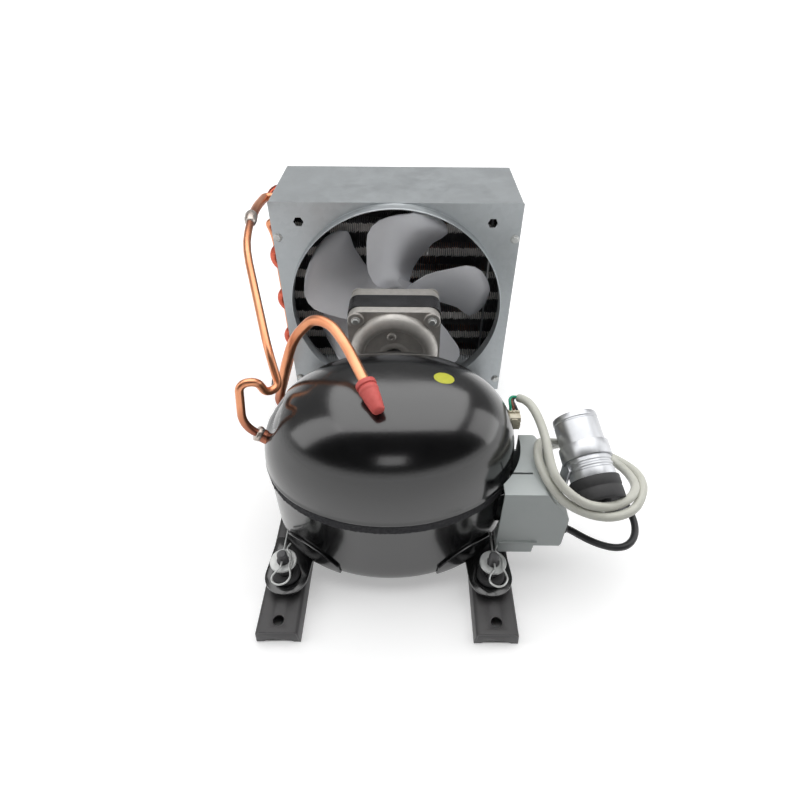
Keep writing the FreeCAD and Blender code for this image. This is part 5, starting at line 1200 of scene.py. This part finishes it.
def shell_cutter(grow):
    """The compressor as a solid, grown outwards, for cutting what meets it."""
    sides, rows = 96, 20
    floor, seam, top = shell_size("floor") - grow, shell_size("seam"), shell_size("top") + grow
    rings = [shell_ring(max(TIP_SHARE, share), grow, seam + level * (floor - seam), 0, sides)
             for share, level in reversed(rounding(rows, BOWL_ROUND))]
    for share, level in rounding(rows, DOME_ROUND):
        rings.append(shell_ring(max(TIP_SHARE, share), grow + DOME_GROW, seam + 0.5 + level * (top - seam),
                                DOME_LEAN * level ** 2, sides))
    return Shape().rings(rings)


def cover_outline(wall):
    """Front outline of the cover: a bevelled upper corner and a rounded lower corner."""
    left, right = COVER_X[0], COVER_X[1] - wall
    low, high = COVER_Z[0] + wall, COVER_Z[1] - wall
    return rounded_outline([(left, low), (right, low), (right, high - BEVEL_TALL + wall * 0.4),
                            (right - BEVEL_WIDE + wall * 0.6, high), (left, high)], [0, 8 - wall, 4, 4, 0], 6)


def relay_cover_piece():
    """A moulded cover with a slit in its top and a raised lower right corner."""
    shape = Shape().prism(cover_outline(0.0), COVER_Y[0], COVER_Y[1] - COVER_Y[0], "Y")
    cutters = [
        Shape().prism(cover_outline(COVER_WALL), COVER_Y[0] + COVER_WALL,
                      COVER_Y[1] - COVER_Y[0] - 2 * COVER_WALL, "Y"),
        shell_cutter(COVER_CLEAR),
        Shape().block((84, 77.0, 110.0), (109.6, 78.8, 113)),
        Shape().block((116.2, 56, 44), (140, 120, 48.6)),
    ]
    piece_of("relay_cover_housing", shape, "relay_plastic", stands_for=("relay_cover",), cutters=cutters, edge=0.7,
             sharp=40)


def cover_step_piece():
    """The deeper lower part of the cover, with the crease above it."""
    step = Shape().prism(rounded_outline([(88, 40.8), (115.6, 40.8), (115.6, 53.6), (88, 53.6)], 1.2, 4), 56.2, 40, "Y")
    piece_of("relay_cover_step", step, "relay_plastic", edge=0.45, steps=2, sharp=40,
             cutters=[shell_cutter(COVER_CLEAR)])
    crease = Shape().prism(rounded_outline([(90, 53.4), (118, 53.4), (118, 54.3), (90, 54.3)], 0.4, 3), 55.9, 1.2, "Y")
    piece_of("relay_cover_crease", crease, "relay_plastic", sharp=40, cutters=[shell_cutter(COVER_CLEAR)])


def gland_piece():
    """The short sleeve where the capacitor's cable leaves the cover."""
    profile = ((3.1, 0), (6.0, 0), (6.0, 1.2), (5.4, 2.2), (4.4, 2.9), (3.1, 3.0))
    shape = Shape().turned(profile, (COVER_X[1], 64, 66), ALONG_X, 36, closed=True)
    piece_of("relay_cover_gland", shape, "black_cable")


def fence_piece():
    """The dark fence round the terminals, behind the cover."""
    outline = rounded_outline([(78, 50), (116, 50), (116, 84), (78, 84)], 4, 5)
    shape = Shape().prism(outline, 80, 21, "X")
    inner = Shape().prism(rounded_outline([(80, 52), (114, 52), (114, 82), (80, 82)], 3, 5), 70, 40, "X")
    piece_of("terminal_fence_wall", shape, "body_paint", stands_for=("terminal_fence",),
             cutters=[inner, shell_cutter(-1.0)], edge=0.4, steps=2)


class CONDENSING_OT_relay_cover(bpy.types.Operator):
    """Moulds the relay cover and the fence behind it"""
    bl_idname = "condensing_unit.relay_cover"
    bl_label = "Mould Relay Cover"

    def execute(self, context):
        relay_cover_piece()
        cover_step_piece()
        gland_piece()
        fence_piece()
        return {"FINISHED"}


# ---- Capacitor ----

CAN_MIDDLE = Vector((154, 99, 112))
CAN_TOP = Vector((-0.17, 0.90, 0.40)).normalized()
CAN_RADIUS, CAN_HALF = 17.5, 31.0


def can_piece():
    """A drawn can with a rolled rim, crimp rings and a domed end."""
    r, h = CAN_RADIUS, CAN_HALF
    profile = [(0.5, h - 1.2), (9, h - 1.2), (14.2, h - 1.6), (15.2, h - 0.4), (16.2, h), (17.1, h - 0.4), (r, h - 1.6),
               (r, h - 4.4), (16.9, h - 5.1), (16.9, h - 5.9), (r, h - 6.6), (r, 8)]
    for height in (-10.5, -14.5):
        profile += [(r, height + 1.4), (16.7, height + 0.6), (16.7, height - 0.6), (r, height - 1.4)]
    profile += [(r, -h + 1.5), (r - 1.0, -h + 0.2), (0.5, -h)]
    piece_of("capacitor_can_body", Shape().turned(profile, CAN_MIDDLE, CAN_TOP, 72), "can_aluminium",
             stands_for=("capacitor_can",), sharp=40)


def can_nub():
    """The small dark plug in the can's upper end."""
    profile = ((6.4, CAN_HALF - 1.6), (6.4, CAN_HALF + 1.6), (5.4, CAN_HALF + 2.6), (1.0, CAN_HALF + 2.8))
    piece_of("capacitor_vent_plug", Shape().turned(profile, CAN_MIDDLE, CAN_TOP, 28), "rubber")


BOOT_TAIL = ((165, 66.5, 94.5), (171.5, 65.5, 86.0), (177, 67.5, 80.0), (182.5, 72, 74.6), (188, 79, 69.8),
             (194, 88, 66))


def boot_piece():
    """A moulded boot over the can's lower end, with a rim, a recessed end face and a thick tail."""
    profile = [(17.6, -21.8), (18.9, -22), (19.1, -22.5), (19.1, -29), (18.5, -29.8), (18.5, -30.6), (18.9, -31.4),
               (18.9, -38.6), (18.4, -39.8), (17.2, -40.2), (16.4, -40.0), (15.8, -39.2), (9.4, -39.0), (8.8, -39.6),
               (8.2, -40.8), (7.0, -41.2), (0.6, -41.2)]
    shape = Shape().turned(profile, CAN_MIDDLE, CAN_TOP, 56)
    tail = smooth_route([Vector(spot) for spot in BOOT_TAIL], 6)
    shape.merged(Shape().swept(tail, [5.6 - 2.2 * index / (len(tail) - 1) for index in range(len(tail))], 22))
    piece_of("capacitor_boot_moulding", shape, "rubber", stands_for=("capacitor_boot",), sharp=50)


def bracket_piece():
    """A band round the can with a tongue that hooks on the relay cover."""
    shape = Shape().turned(((17.55, -6), (19.3, -6), (19.3, 6), (17.55, 6)), CAN_MIDDLE, CAN_TOP, 72, closed=True)
    shape.block((138.1, 82, 66), (139.9, 98, 110))
    piece_of("capacitor_bracket_band", shape, "can_aluminium", stands_for=("capacitor_bracket",),
             edge=0.3, steps=2)


class CONDENSING_OT_capacitor(bpy.types.Operator):
    """Mounts the capacitor with its boot and bracket"""
    bl_idname = "condensing_unit.capacitor"
    bl_label = "Mount Capacitor"

    def execute(self, context):
        can_piece()
        can_nub()
        boot_piece()
        bracket_piece()
        return {"FINISHED"}


# ---- Shroud ----

PANEL_X, PANEL_Z = (-115.2, 119.2), (15.0, 234.4)
SHROUD_Y, SHROUD_BACK, SHEET = 292.5, 392.4, 1.2
COLLAR_MIDDLE = (1.5, 127.5)
COLLAR_SIDES = 288
# Radius and Y of the drawn collar, from the panel's front over the rolled lip to the panel's back.
COLLAR_PROFILE = ((106.5, SHROUD_Y), (106.25, SHROUD_Y - 0.4), (106.0, SHROUD_Y - 1.4), (106.0, 285.0), (106.2, 282.6),
                  (106.15, 281.5), (105.9, 280.8), (105.5, 280.5), (105.1, 280.7), (104.8, 281.6), (104.8, 290.0),
                  (105.0, 292.6), (105.3, SHROUD_Y + SHEET))
WINDOW_Y, WINDOW_Z = (324.7, 372.7), (26.0, 230.0)
SCREW_X, SCREW_Z = (-110.5, 114.5), (200.5, 31.0)
HEX_HOLES, HEX_REACH = ((-89, 216), (92, 216)), 4.8


def panel_edge():
    """The panel's rectangle, with one place for each side of the collar and one in each corner."""
    edge = []
    for across, up in spokes(COLLAR_SIDES):
        reach = []
        for share, middle, (low, high) in ((across, COLLAR_MIDDLE[0], PANEL_X), (up, COLLAR_MIDDLE[1], PANEL_Z)):
            if abs(share) > 1e-9:
                reach.append(((high if share > 0 else low) - middle) / share)
        edge.append((COLLAR_MIDDLE[0] + min(reach) * across, COLLAR_MIDDLE[1] + min(reach) * up))
    for x in PANEL_X:
        for z in PANEL_Z:
            corner = math.atan2(z - COLLAR_MIDDLE[1], x - COLLAR_MIDDLE[0])
            edge[round(corner / (2 * math.pi / COLLAR_SIDES)) % COLLAR_SIDES] = (x, z)
    return edge


def front_panel():
    """The panel with its drawn collar and rolled lip, as one sheet."""
    edge = panel_edge()
    rings = [[Vector((x, y, z)) for x, z in edge] for y in (SHROUD_Y + SHEET, SHROUD_Y)]
    for radius, y in COLLAR_PROFILE:
        rings.append([Vector((COLLAR_MIDDLE[0] + radius * a, y, COLLAR_MIDDLE[1] + radius * b))
                      for a, b in spokes(COLLAR_SIDES)])
    return Shape().rings(rings, closed=True)


def wrap_piece():
    """Top, sides and floor of the shroud, with the window for the coil's bends."""
    x0, x1, z0, z1 = PANEL_X[0], PANEL_X[1], PANEL_Z[0], PANEL_Z[1]
    outer = [(x0, z0), (x1, z0), (x1, z1), (x0, z1)]
    inner = [(x0 + SHEET, z0 + SHEET), (x1 - SHEET, z0 + SHEET), (x1 - SHEET, z1 - SHEET), (x0 + SHEET, z1 - SHEET)]
    outside, inside = rounded_outline(outer, 1.6, 4), rounded_outline(inner, 0.6, 4)
    start, end = SHROUD_Y + SHEET, SHROUD_BACK
    shape = Shape().rings([[Vector((a, y, b)) for a, b in outline] for outline, y in
                           ((outside, start), (outside, end), (inside, end), (inside, start))], closed=True)
    window = Shape().block((x0 - 5, WINDOW_Y[0], WINDOW_Z[0]), (x0 + 5, WINDOW_Y[1], WINDOW_Z[1]))
    piece_of("shroud_wrap", shape, "shroud_sheet", cutters=[window])


def hex_screw(shape, middle, axis, across, tall, washer):
    """A hexagon head with a chamfer on a flange."""
    turn = ALONG_Z.rotation_difference(Vector(axis))
    shape.rings([[Vector(middle) + turn @ Vector((radius * a, radius * b, height)) for a, b in spokes(6)]
                 for radius, height in ((across, 0.5), (across, tall - 0.5), (across * 0.86, tall))])
    shape.turned(((0.3, 0), (washer, 0), (washer, 0.35), (washer - 0.5, 0.8), (across * 0.8, 0.9)), middle, axis, 28)


class CONDENSING_OT_shroud(bpy.types.Operator):
    """Folds the fan shroud and screws it together"""
    bl_idname = "condensing_unit.shroud"
    bl_label = "Fold Shroud"

    def execute(self, context):
        holes = [Shape().prism([(x + HEX_REACH * a, z + HEX_REACH * b) for a, b in spokes(6)], SHROUD_Y - 3, 8, "Y")
                 for x, z in HEX_HOLES]
        piece_of("shroud_front_panel", front_panel(), "shroud_sheet", stands_for=("shroud",), cutters=holes, sharp=25)
        wrap_piece()
        screws = Shape()
        for x in SCREW_X:
            for z in SCREW_Z:
                hex_screw(screws, (x, SHROUD_Y, z), -ALONG_Y, 3.4, 2.4, 4.2)
        piece_of("shroud_screw_heads", screws, "zinc", stands_for=("shroud_screws",), sharp=25)
        return {"FINISHED"}


# ---- Coil ----

BLOCK_X, BLOCK_Y, BLOCK_Z = (-112.1, 95.9), (325.5, 372.5), (31.7, 232.2)
PLATE_X, PLATE_Y, PLATE_Z = (-113.7, 96.0), (321.5, 376.5), (16.3, 232.2)
FRONT_ROW_Y, REAR_ROW_Y = 338.0, 360.0
TUBE_TOP, TUBE_PITCH = 222.0, 25.4
SIDE_FINS_END, SIDE_FINS_BACK = 117.0, 331.6
FIN_GAUGE, FIN_STEPS, PLATE_GAUGE = 0.2, 24, 1.5
TAB_FACES = ((0, 1, 2, 3), (7, 6, 5, 4), (0, 4, 5, 1), (3, 2, 6, 7), (0, 3, 7, 4), (1, 5, 6, 2))


def tube_rows():
    """Heights of the coil's tubes."""
    return [TUBE_TOP - TUBE_PITCH * row for row in range(settings().coil.rows)]


def fin_shapes():
    """Thin rippled fins with a folded collar round each tube."""
    pitch = settings().coil.fin_pitch / MM
    count = int((BLOCK_X[1] - BLOCK_X[0]) / pitch)
    fins, collars = Shape(), Shape()
    random_source = random.Random(41)
    steps = FIN_STEPS
    for index in range(count + 1):
        x = min(BLOCK_X[0] + index * pitch, BLOCK_X[1] - 0.4)
        bend = [random_source.uniform(-0.16, 0.16) for _ in range(4)]
        front, back = [], []
        for step in range(steps + 1):
            z = BLOCK_Z[0] + (BLOCK_Z[1] - BLOCK_Z[0]) * step / steps
            share = step / steps * 3
            low = min(2, int(share))
            shift = bend[low] * (1 - share + low) + bend[low + 1] * (share - low)
            wave = 0.35 if step % 2 else 0.0
            front.append((x + shift, BLOCK_Y[0] + wave, z))
            back.append((x + shift * 0.4, BLOCK_Y[1] - wave, z))
        vertices, faces = [], []
        for a, b in zip(front, back):
            vertices += [a, b, (a[0] + FIN_GAUGE, a[1], a[2]), (b[0] + FIN_GAUGE, b[1], b[2])]
        for step in range(steps):
            k = step * 4
            faces += [(k, k + 4, k + 5, k + 1), (k + 2, k + 3, k + 7, k + 6), (k, k + 2, k + 6, k + 4),
                      (k + 1, k + 5, k + 7, k + 3)]
        k = steps * 4
        faces += [(0, 1, 3, 2), (k, k + 2, k + 3, k + 1)]
        fins.add(vertices, faces)
        if index < count:
            for z in tube_rows():
                for y in (FRONT_ROW_Y, REAR_ROW_Y):
                    wobble = random_source.uniform(-0.12, 0.12)
                    collars.rings([[(x + along, y + radius * a, z + wobble + radius * b) for a, b in spokes(16)]
                                   for radius, along in ((6.1, 0.22), (5.1, 0.5), (4.95, pitch * 0.9))], caps=False)
    return fins, collars


def fin_highlight_tabs():
    """Slanted tabs along each tube row, in a near-white finish that paints the highlight where the fins' edges catch
    light.
    """
    pitch = settings().coil.fin_pitch / MM
    count = int((SIDE_FINS_END - BLOCK_X[0]) / pitch)
    source = random.Random(7)
    shape = Shape()
    for index in range(count):
        x = BLOCK_X[0] + index * pitch
        for z in tube_rows():
            tall = source.uniform(4.4, 5.8)
            lean = source.uniform(0.1, 0.8)
            y = BLOCK_Y[0] + source.uniform(0.02, 0.25)
            middle = z + source.uniform(-0.4, 0.4)
            vertices = []
            for near, far in ((y, y + lean + 0.4), (y + 0.15, y + lean + 0.55)):
                vertices += [(x + 0.2, near, middle - tall), (x + 1.85, far, middle - tall * 0.72),
                             (x + 1.85, far, middle + tall * 0.72), (x + 0.2, near, middle + tall)]
            shape.add(vertices, TAB_FACES)
    return shape


def shade_filler_fins():
    """Shallow dark fins in front of the right bends, and a baffle behind them, that paint the shade between the coil
    and the shroud's collar.
    """
    pitch = settings().coil.fin_pitch / MM
    fins = Shape()
    x = PLATE_X[1] + 2.2
    while x < SIDE_FINS_END:
        fins.block((x, BLOCK_Y[0], BLOCK_Z[0]), (x + FIN_GAUGE, SIDE_FINS_BACK - 0.3, BLOCK_Z[1]))
        x += pitch
    return fins.block((PLATE_X[1] + 1.6, SIDE_FINS_BACK - 0.2, BLOCK_Z[0]),
                      (SIDE_FINS_END, SIDE_FINS_BACK + 0.4, BLOCK_Z[1]))


def plate_piece(name, x, node):
    """An end plate with folded edges and a drawn hole round each tube."""
    (y0, y1), (z0, z1), gauge = PLATE_Y, PLATE_Z, PLATE_GAUGE
    shape = Shape().prism(rounded_outline([(y0, z0), (y1, z0), (y1, z1), (y0, z1)], 1.2, 4), x, gauge, "X")
    for z in tube_rows():
        for y in (FRONT_ROW_Y, REAR_ROW_Y):
            shape.turned(((4.9, -0.6), (6.8, -0.6), (6.4, 0.0), (6.4, gauge), (6.8, gauge), (4.9, gauge)),
                         (x, y, z), ALONG_X, 24, closed=True)
    piece_of(name, shape, "galvanised", stands_for=(node,), sharp=30)


def bend_route(x, side, first, second):
    """A half circle outside an end plate between two tubes."""
    first, second = Vector((0, *first)), Vector((0, *second))
    middle, half = (first + second) / 2, (first - second) / 2
    route = [Vector((x, first.y, first.z))]
    for step in range(17):
        angle = math.pi * step / 16
        spot = middle + half * math.cos(angle)
        route.append(Vector((x + side * (BEND_REACH + half.length * math.sin(angle)), spot.y, spot.z)))
    route.append(Vector((x, second.y, second.z)))
    return route


BEND_REACH = 2.6
# Front or rear column and row of the two tubes that each bend joins.
LEFT_BENDS = (("R", 0, "R", 1), ("R", 2, "R", 3), ("R", 4, "R", 5), ("R", 6, "R", 7), ("F", 7, "F", 6),
              ("F", 5, "F", 4), ("F", 3, "F", 2))
RIGHT_BENDS = (("F", 0, "R", 0), ("R", 1, "R", 2), ("R", 3, "R", 4), ("R", 5, "R", 6), ("R", 7, "F", 7),
               ("F", 6, "F", 5), ("F", 4, "F", 3), ("F", 2, "F", 1))


def bends_shape(x, side, bends):
    """All return bends at one end of the coil, with their flared cups."""
    depth = {"F": FRONT_ROW_Y, "R": REAR_ROW_Y}
    rows = tube_rows()
    shape = Shape()
    for one, row, other, second_row in bends:
        if max(row, second_row) < len(rows):
            route = bend_route(x, side, (depth[one], rows[row]), (depth[other], rows[second_row]))
            shape.swept(route, settings().coil.tube_radius / MM, 22)
            for y, z in ((depth[one], rows[row]), (depth[other], rows[second_row])):
                shape.turned(((4.8, -0.2), (5.6, 0.2), (5.7, 2.0), (5.1, 3.2), (4.8, 3.6)), (x + side * 0.2, y, z),
                             ALONG_X * side, 22)
    return shape


class CONDENSING_OT_coil(bpy.types.Operator):
    """Stacks the coil's fins and threads its tubes"""
    bl_idname = "condensing_unit.coil"
    bl_label = "Stack Coil"

    def execute(self, context):
        fins, collars = fin_shapes()
        # The fins wear a dark finish that paints the shade inside the coil.
        piece_of("coil_fins", fins, "fins", stands_for=("fin_pack",), sharp=20)
        piece_of("coil_fin_collars", collars, "fins")
        piece_of("coil_side_fins", shade_filler_fins(), "fins", sharp=20)
        piece_of("coil_fin_tabs", fin_highlight_tabs(), "fin_edges", sharp=20)
        plate_piece("coil_end_plate_left", PLATE_X[0], "end_plate_left")
        plate_piece("coil_end_plate_right", PLATE_X[1], "end_plate_right")
        tubes = Shape()
        for z in tube_rows():
            for y in (FRONT_ROW_Y, REAR_ROW_Y):
                tubes.turned(((4.76, 0), (4.76, PLATE_X[1] + 4.0 - PLATE_X[0])), (PLATE_X[0] - 1.2, y, z), ALONG_X, 20)
        piece_of("coil_straight_tubes", tubes, "copper", stands_for=("coil_tubes",))
        piece_of("coil_bends_left", bends_shape(PLATE_X[0], -1, LEFT_BENDS), "red_copper",
                 stands_for=("return_bends_left",), sharp=50)
        piece_of("coil_bends_right", bends_shape(PLATE_X[1] + 1.5, 1, RIGHT_BENDS), "copper",
                 stands_for=("return_bends_right",), sharp=50)
        return {"FINISHED"}


# ---- Motor ----

MOTOR_X, MOTOR_Z = COLLAR_MIDDLE
LUG_REACH = 33.7
LUGS = [(MOTOR_X + across * LUG_REACH, MOTOR_Z + up * LUG_REACH) for across in (-1, 1) for up in (-1, 1)]
COVER_PROFILE = ((0.6, 0), (40.2, 0), (39.9, 2.2), (39.0, 4.4), (37.2, 6.6), (34.6, 8.2), (31.6, 9.0), (28.6, 9.1),
                 (27.8, 8.6), (27.2, 8.0), (15.2, 8.1), (14.0, 8.3), (12.8, 8.8), (11.6, 9.0), (9.4, 9.0), (8.6, 8.4),
                 (0.6, 8.2))
STACK_START, STACK_TALL, STACK_SHEETS, STACK_BORE = 221.0, 20.0, 30, 22.6


def motor_square(half, corner):
    """The motor's square outline with rounded corners."""
    return rounded_outline([(MOTOR_X - half, MOTOR_Z - half), (MOTOR_X + half, MOTOR_Z - half),
                            (MOTOR_X + half, MOTOR_Z + half), (MOTOR_X - half, MOTOR_Z + half)], corner, 7)


def motor_cover(name, node, start, end, front):
    """A die-cast cover: a square flange with corner lugs, and a round drum."""
    shape = Shape().prism(motor_square(41.5, 11), start, end - start, "Y")
    side = -1 if front else 1
    face = start if front else end
    for x, z in LUGS:
        shape.turned(((0.5, 0), (7.4, 0), (7.4, 1.6), (6.8, 2.2), (0.5, 2.2)), (x, face, z), ALONG_Y * side, 28)
    if front:
        shape.turned(COVER_PROFILE, (MOTOR_X, face, MOTOR_Z), ALONG_Y * side, 96)
        shape.turned(((0.4, 0), (4.2, 0), (4.0, 9.0), (3.2, 9.6), (1.6, 9.6), (1.4, 8.9), (0.4, 8.8)),
                     (-0.6, face, 148.6), ALONG_Y * side, 28)
        turns = [math.radians(200 + 140 * step / 24) for step in range(25)]
        arc = [(MOTOR_X + 23.0 * math.cos(turn), face - 7.9, MOTOR_Z + 23.0 * math.sin(turn)) for turn in turns]
        shape.swept(arc, 0.8, 12)
    else:
        drum = ((12.2, 0), (34.2, 0), (33.2, 1.0), (20.6, 1.2), (12.6, 1.6), (12.0, 2.8), (9.4, 3.0), (9.3, 0))
        shape.turned(drum, (MOTOR_X, face, MOTOR_Z), ALONG_Y * side, 60, closed=True)
    piece_of(name, shape, "motor_paint", stands_for=(node,), sharp=34)


def laminations_piece():
    """The stack: many thin sheets with a round bore."""
    outside = motor_square(42, 9)
    pitch = STACK_TALL / STACK_SHEETS
    profile = []
    for sheet in range(STACK_SHEETS):
        start = STACK_START + sheet * pitch
        profile += [(0.0, start + 0.08), (0.0, start + pitch - 0.08), (0.32, start + pitch - 0.04),
                    (0.32, start + pitch + 0.04)]
    profile = profile[:-2]
    rings = []
    for inset, y in profile:
        share = 1 - inset / 42
        rings.append([Vector((MOTOR_X + (a - MOTOR_X) * share, y, MOTOR_Z + (b - MOTOR_Z) * share))
                      for a, b in outside])
    turns = [math.atan2(b - MOTOR_Z, a - MOTOR_X) for a, b in outside]
    for y in (profile[-1][1], profile[0][1]):
        rings.append([Vector((MOTOR_X + STACK_BORE * math.cos(turn), y, MOTOR_Z + STACK_BORE * math.sin(turn)))
                      for turn in turns])
    piece_of("motor_stack", Shape().rings(rings, closed=True), "laminations", stands_for=("motor_laminations",),
             sharp=20)


def stand_piece():
    """A pressed strap across the rails with a folded bridge under the motor."""
    shape = Shape().prism(rounded_outline([(-97, 217), (97, 217), (97, 245), (-97, 245)], 5, 5), 15.0, 2.5, "Z")
    left, right, top = -30.5, 33.5, 85.5
    outer = [(left, 17.5), (left, top), (right, top), (right, 17.5)]
    inner = [(right - 2.5, 17.5), (right - 2.5, top - 2.5), (left + 2.5, top - 2.5), (left + 2.5, 17.5)]
    shape.prism(rounded_outline(outer + inner, [0, 5, 5, 0, 0, 2.5, 2.5, 0], 6), 217, 28, "Y")
    piece_of("motor_stand_strap", shape, "rail_paint", stands_for=("motor_stand",), edge=0.4, steps=2)


class CONDENSING_OT_motor(bpy.types.Operator):
    """Assembles the fan's motor on its stand"""
    bl_idname = "condensing_unit.motor"
    bl_label = "Assemble Motor"

    def execute(self, context):
        motor_cover("motor_front_casting", "motor_front_cover", 212.0, 221.0, True)
        motor_cover("motor_rear_casting", "motor_rear_cover", 241.0, 253.0, False)
        laminations_piece()
        screws = Shape()
        for x, z in LUGS:
            hex_screw(screws, (x, 209.8, z), -ALONG_Y, 3.3, 2.6, 4.0)
        piece_of("motor_tie_screws", screws, "zinc", stands_for=("motor_screws",), sharp=25)
        stand_piece()
        bolts = Shape()
        for x in (-85, 85, -14.5, 17.5):
            hex_screw(bolts, (x, 231, 17.5 if abs(x) > 50 else 85.5), ALONG_Z, 4.2, 3.4, 5.4)
        piece_of("stand_bolt_heads", bolts, "zinc", stands_for=("stand_bolts",), sharp=25)
        shaft = Shape().turned(((0.4, 204), (3.2, 204), (3.97, 204.8), (3.97, 300.2), (3.2, 301), (0.4, 301)),
                               (MOTOR_X, 0, MOTOR_Z), ALONG_Y, 40)
        piece_of("motor_shaft_bar", shaft, "steel", body="fan", stands_for=("motor_shaft",))
        return {"FINISHED"}


# ---- Fan ----

# Share of the reach, leading and trailing angle in degrees, and half of the pitch in millimetres.
BLADE_FORM = ((0.19, 52, 128, 1.5), (0.245, 57, 129.5, 4.5), (0.30, 60, 130, 8.5), (0.345, 61.3, 129, 11),
              (0.39, 62, 128, 12.5), (0.50, 61, 124, 14.5), (0.60, 59, 119, 16), (0.70, 57.5, 114, 16.6),
              (0.80, 54, 110.5, 17), (0.87, 53, 108, 16.6), (0.93, 57, 104, 15.6), (0.97, 63, 99, 14),
              (0.985, 67, 94, 12), (0.995, 72, 89, 9.5), (1.0, 77, 84, 7))
BLADE_REACH, BLADE_PLANE, BLADE_COUNT, BLADE_GAUGE, BLADE_CUP = 97.0, 301.0, 5, 1.2, 10
DISC_PROFILE = ((9.3, 301.0), (15, 301.0), (24.6, 300.6), (26, 300.9), (26, 302.2), (24.6, 302.6), (15, 302.8),
                (9.3, 302.8))
HUB_PROFILE = ((4.0, 288), (8.2, 288), (9.0, 288.8), (9.0, 299.2), (14.4, 299.4), (15.0, 299.8), (15.0, 300.9),
               (9.0, 301.0), (9.0, 304.0), (8.2, 304.8), (4.0, 304.8))


def blade_shape(turn):
    """A twisted, cupped blade with two thin skins."""
    across = 26
    rings = []
    for share, leading, trailing, pitch in BLADE_FORM:
        skins = []
        for layer in (-BLADE_GAUGE / 2, BLADE_GAUGE / 2):
            row = []
            for step in range(across + 1):
                spot = step / across
                angle = math.radians(leading + (trailing - leading) * spot + turn)
                y = BLADE_PLANE + pitch * (1 - 2 * spot) - BLADE_CUP * spot * (1 - spot) * share
                reach = share * BLADE_REACH
                row.append(Vector((MOTOR_X + reach * math.cos(angle), y + layer, MOTOR_Z + reach * math.sin(angle))))
            skins.append(row)
        rings.append(skins[0] + list(reversed(skins[1])))
    return Shape().rings(rings)


class CONDENSING_OT_fan(bpy.types.Operator):
    """Presses the fan's blades and hub"""
    bl_idname = "condensing_unit.fan"
    bl_label = "Press Fan"

    def execute(self, context):
        blades = Shape()
        for number in range(BLADE_COUNT):
            blades.merged(blade_shape(number * 360 / BLADE_COUNT))
        blades.turned(DISC_PROFILE, (MOTOR_X, 0, MOTOR_Z), ALONG_Y, 60, closed=True)
        piece_of("fan_blades", blades, "fan_metal", body="fan", stands_for=("fan_blade",), sharp=45)
        hub = Shape().turned(HUB_PROFILE, (MOTOR_X, 0, MOTOR_Z), ALONG_Y, 48, closed=True)
        for step in range(3):
            angle = math.radians(30 + 120 * step)
            middle = (MOTOR_X + 12.2 * math.cos(angle), 299.6, MOTOR_Z + 12.2 * math.sin(angle))
            hub.turned(((0.3, 0), (1.9, 0), (1.7, 0.8), (1.0, 1.1), (0.3, 1.2)), middle, -ALONG_Y, 20)
        piece_of("fan_hub_bush", hub, "steel", body="fan", stands_for=("fan_hub",))
        return {"FINISHED"}


# ---- Hidden pieces ----

HIDDEN_FINISHES = {
    "hermetic_terminal": "glass_seal",
    "start_relay": "relay_plastic",
    "overload_protector": "relay_plastic",
    "motor_bearings": "steel",
    "motor_windings": "winding",
    "motor_rotor": "laminations",
    "pump_block": "iron",
    "compressor_stator": "laminations",
    "pump_rotor": "laminations",
    "piston_and_rod": "steel",
}


class CONDENSING_OT_hidden(bpy.types.Operator):
    """Gives the pieces inside the unit their finishes"""
    bl_idname = "condensing_unit.hidden"
    bl_label = "Finish Hidden Pieces"

    def execute(self, context):
        shown = {piece.name: piece for piece in bpy.data.objects if piece.type == "MESH"}
        for node, finish in HIDDEN_FINISHES.items():
            piece = shown[node]
            piece.data.materials.clear()
            piece.data.materials.append(surface(finish))
        return {"FINISHED"}


# ---- Add-on ----

STEPS = (
    CONDENSING_OT_stage,
    CONDENSING_OT_cables,
    CONDENSING_OT_compressor,
    CONDENSING_OT_feet,
    CONDENSING_OT_rails,
    CONDENSING_OT_lines,
    CONDENSING_OT_relay_cover,
    CONDENSING_OT_capacitor,
    CONDENSING_OT_shroud,
    CONDENSING_OT_coil,
    CONDENSING_OT_motor,
    CONDENSING_OT_fan,
    CONDENSING_OT_hidden,
)


class CONDENSING_PT_steps(bpy.types.Panel):
    """Lists the unit's settings and steps"""
    bl_idname = "CONDENSING_PT_steps"
    bl_label = "Condensing Unit"
    bl_space_type = "VIEW_3D"
    bl_region_type = "UI"
    bl_category = "Condensing Unit"

    def draw(self, context):
        look = context.scene.condensing_unit
        for group in (look.shell, look.coil, look.cable, look.stage):
            box = self.layout.box()
            for name in group.bl_rna.properties.keys():
                if name not in ("rna_type", "name"):
                    box.prop(group, name)
        for step in STEPS:
            self.layout.operator(step.bl_idname)


CLASSES = (ShellSettings, CoilSettings, CableSettings, StageSettings, UnitSettings, *STEPS, CONDENSING_PT_steps)


def register():
    for kind in CLASSES:
        bpy.utils.register_class(kind)
    bpy.types.Scene.condensing_unit = PointerProperty(type=UnitSettings)


def unregister():
    del bpy.types.Scene.condensing_unit
    for kind in reversed(CLASSES):
        bpy.utils.unregister_class(kind)


def main():
    """Runs every step in order."""
    register()
    for step in STEPS:
        area, name = step.bl_idname.split(".")
        result = getattr(getattr(bpy.ops, area), name)()
        if "FINISHED" not in result:
            raise RuntimeError(step.bl_label)


if __name__ == "__main__":
    main()
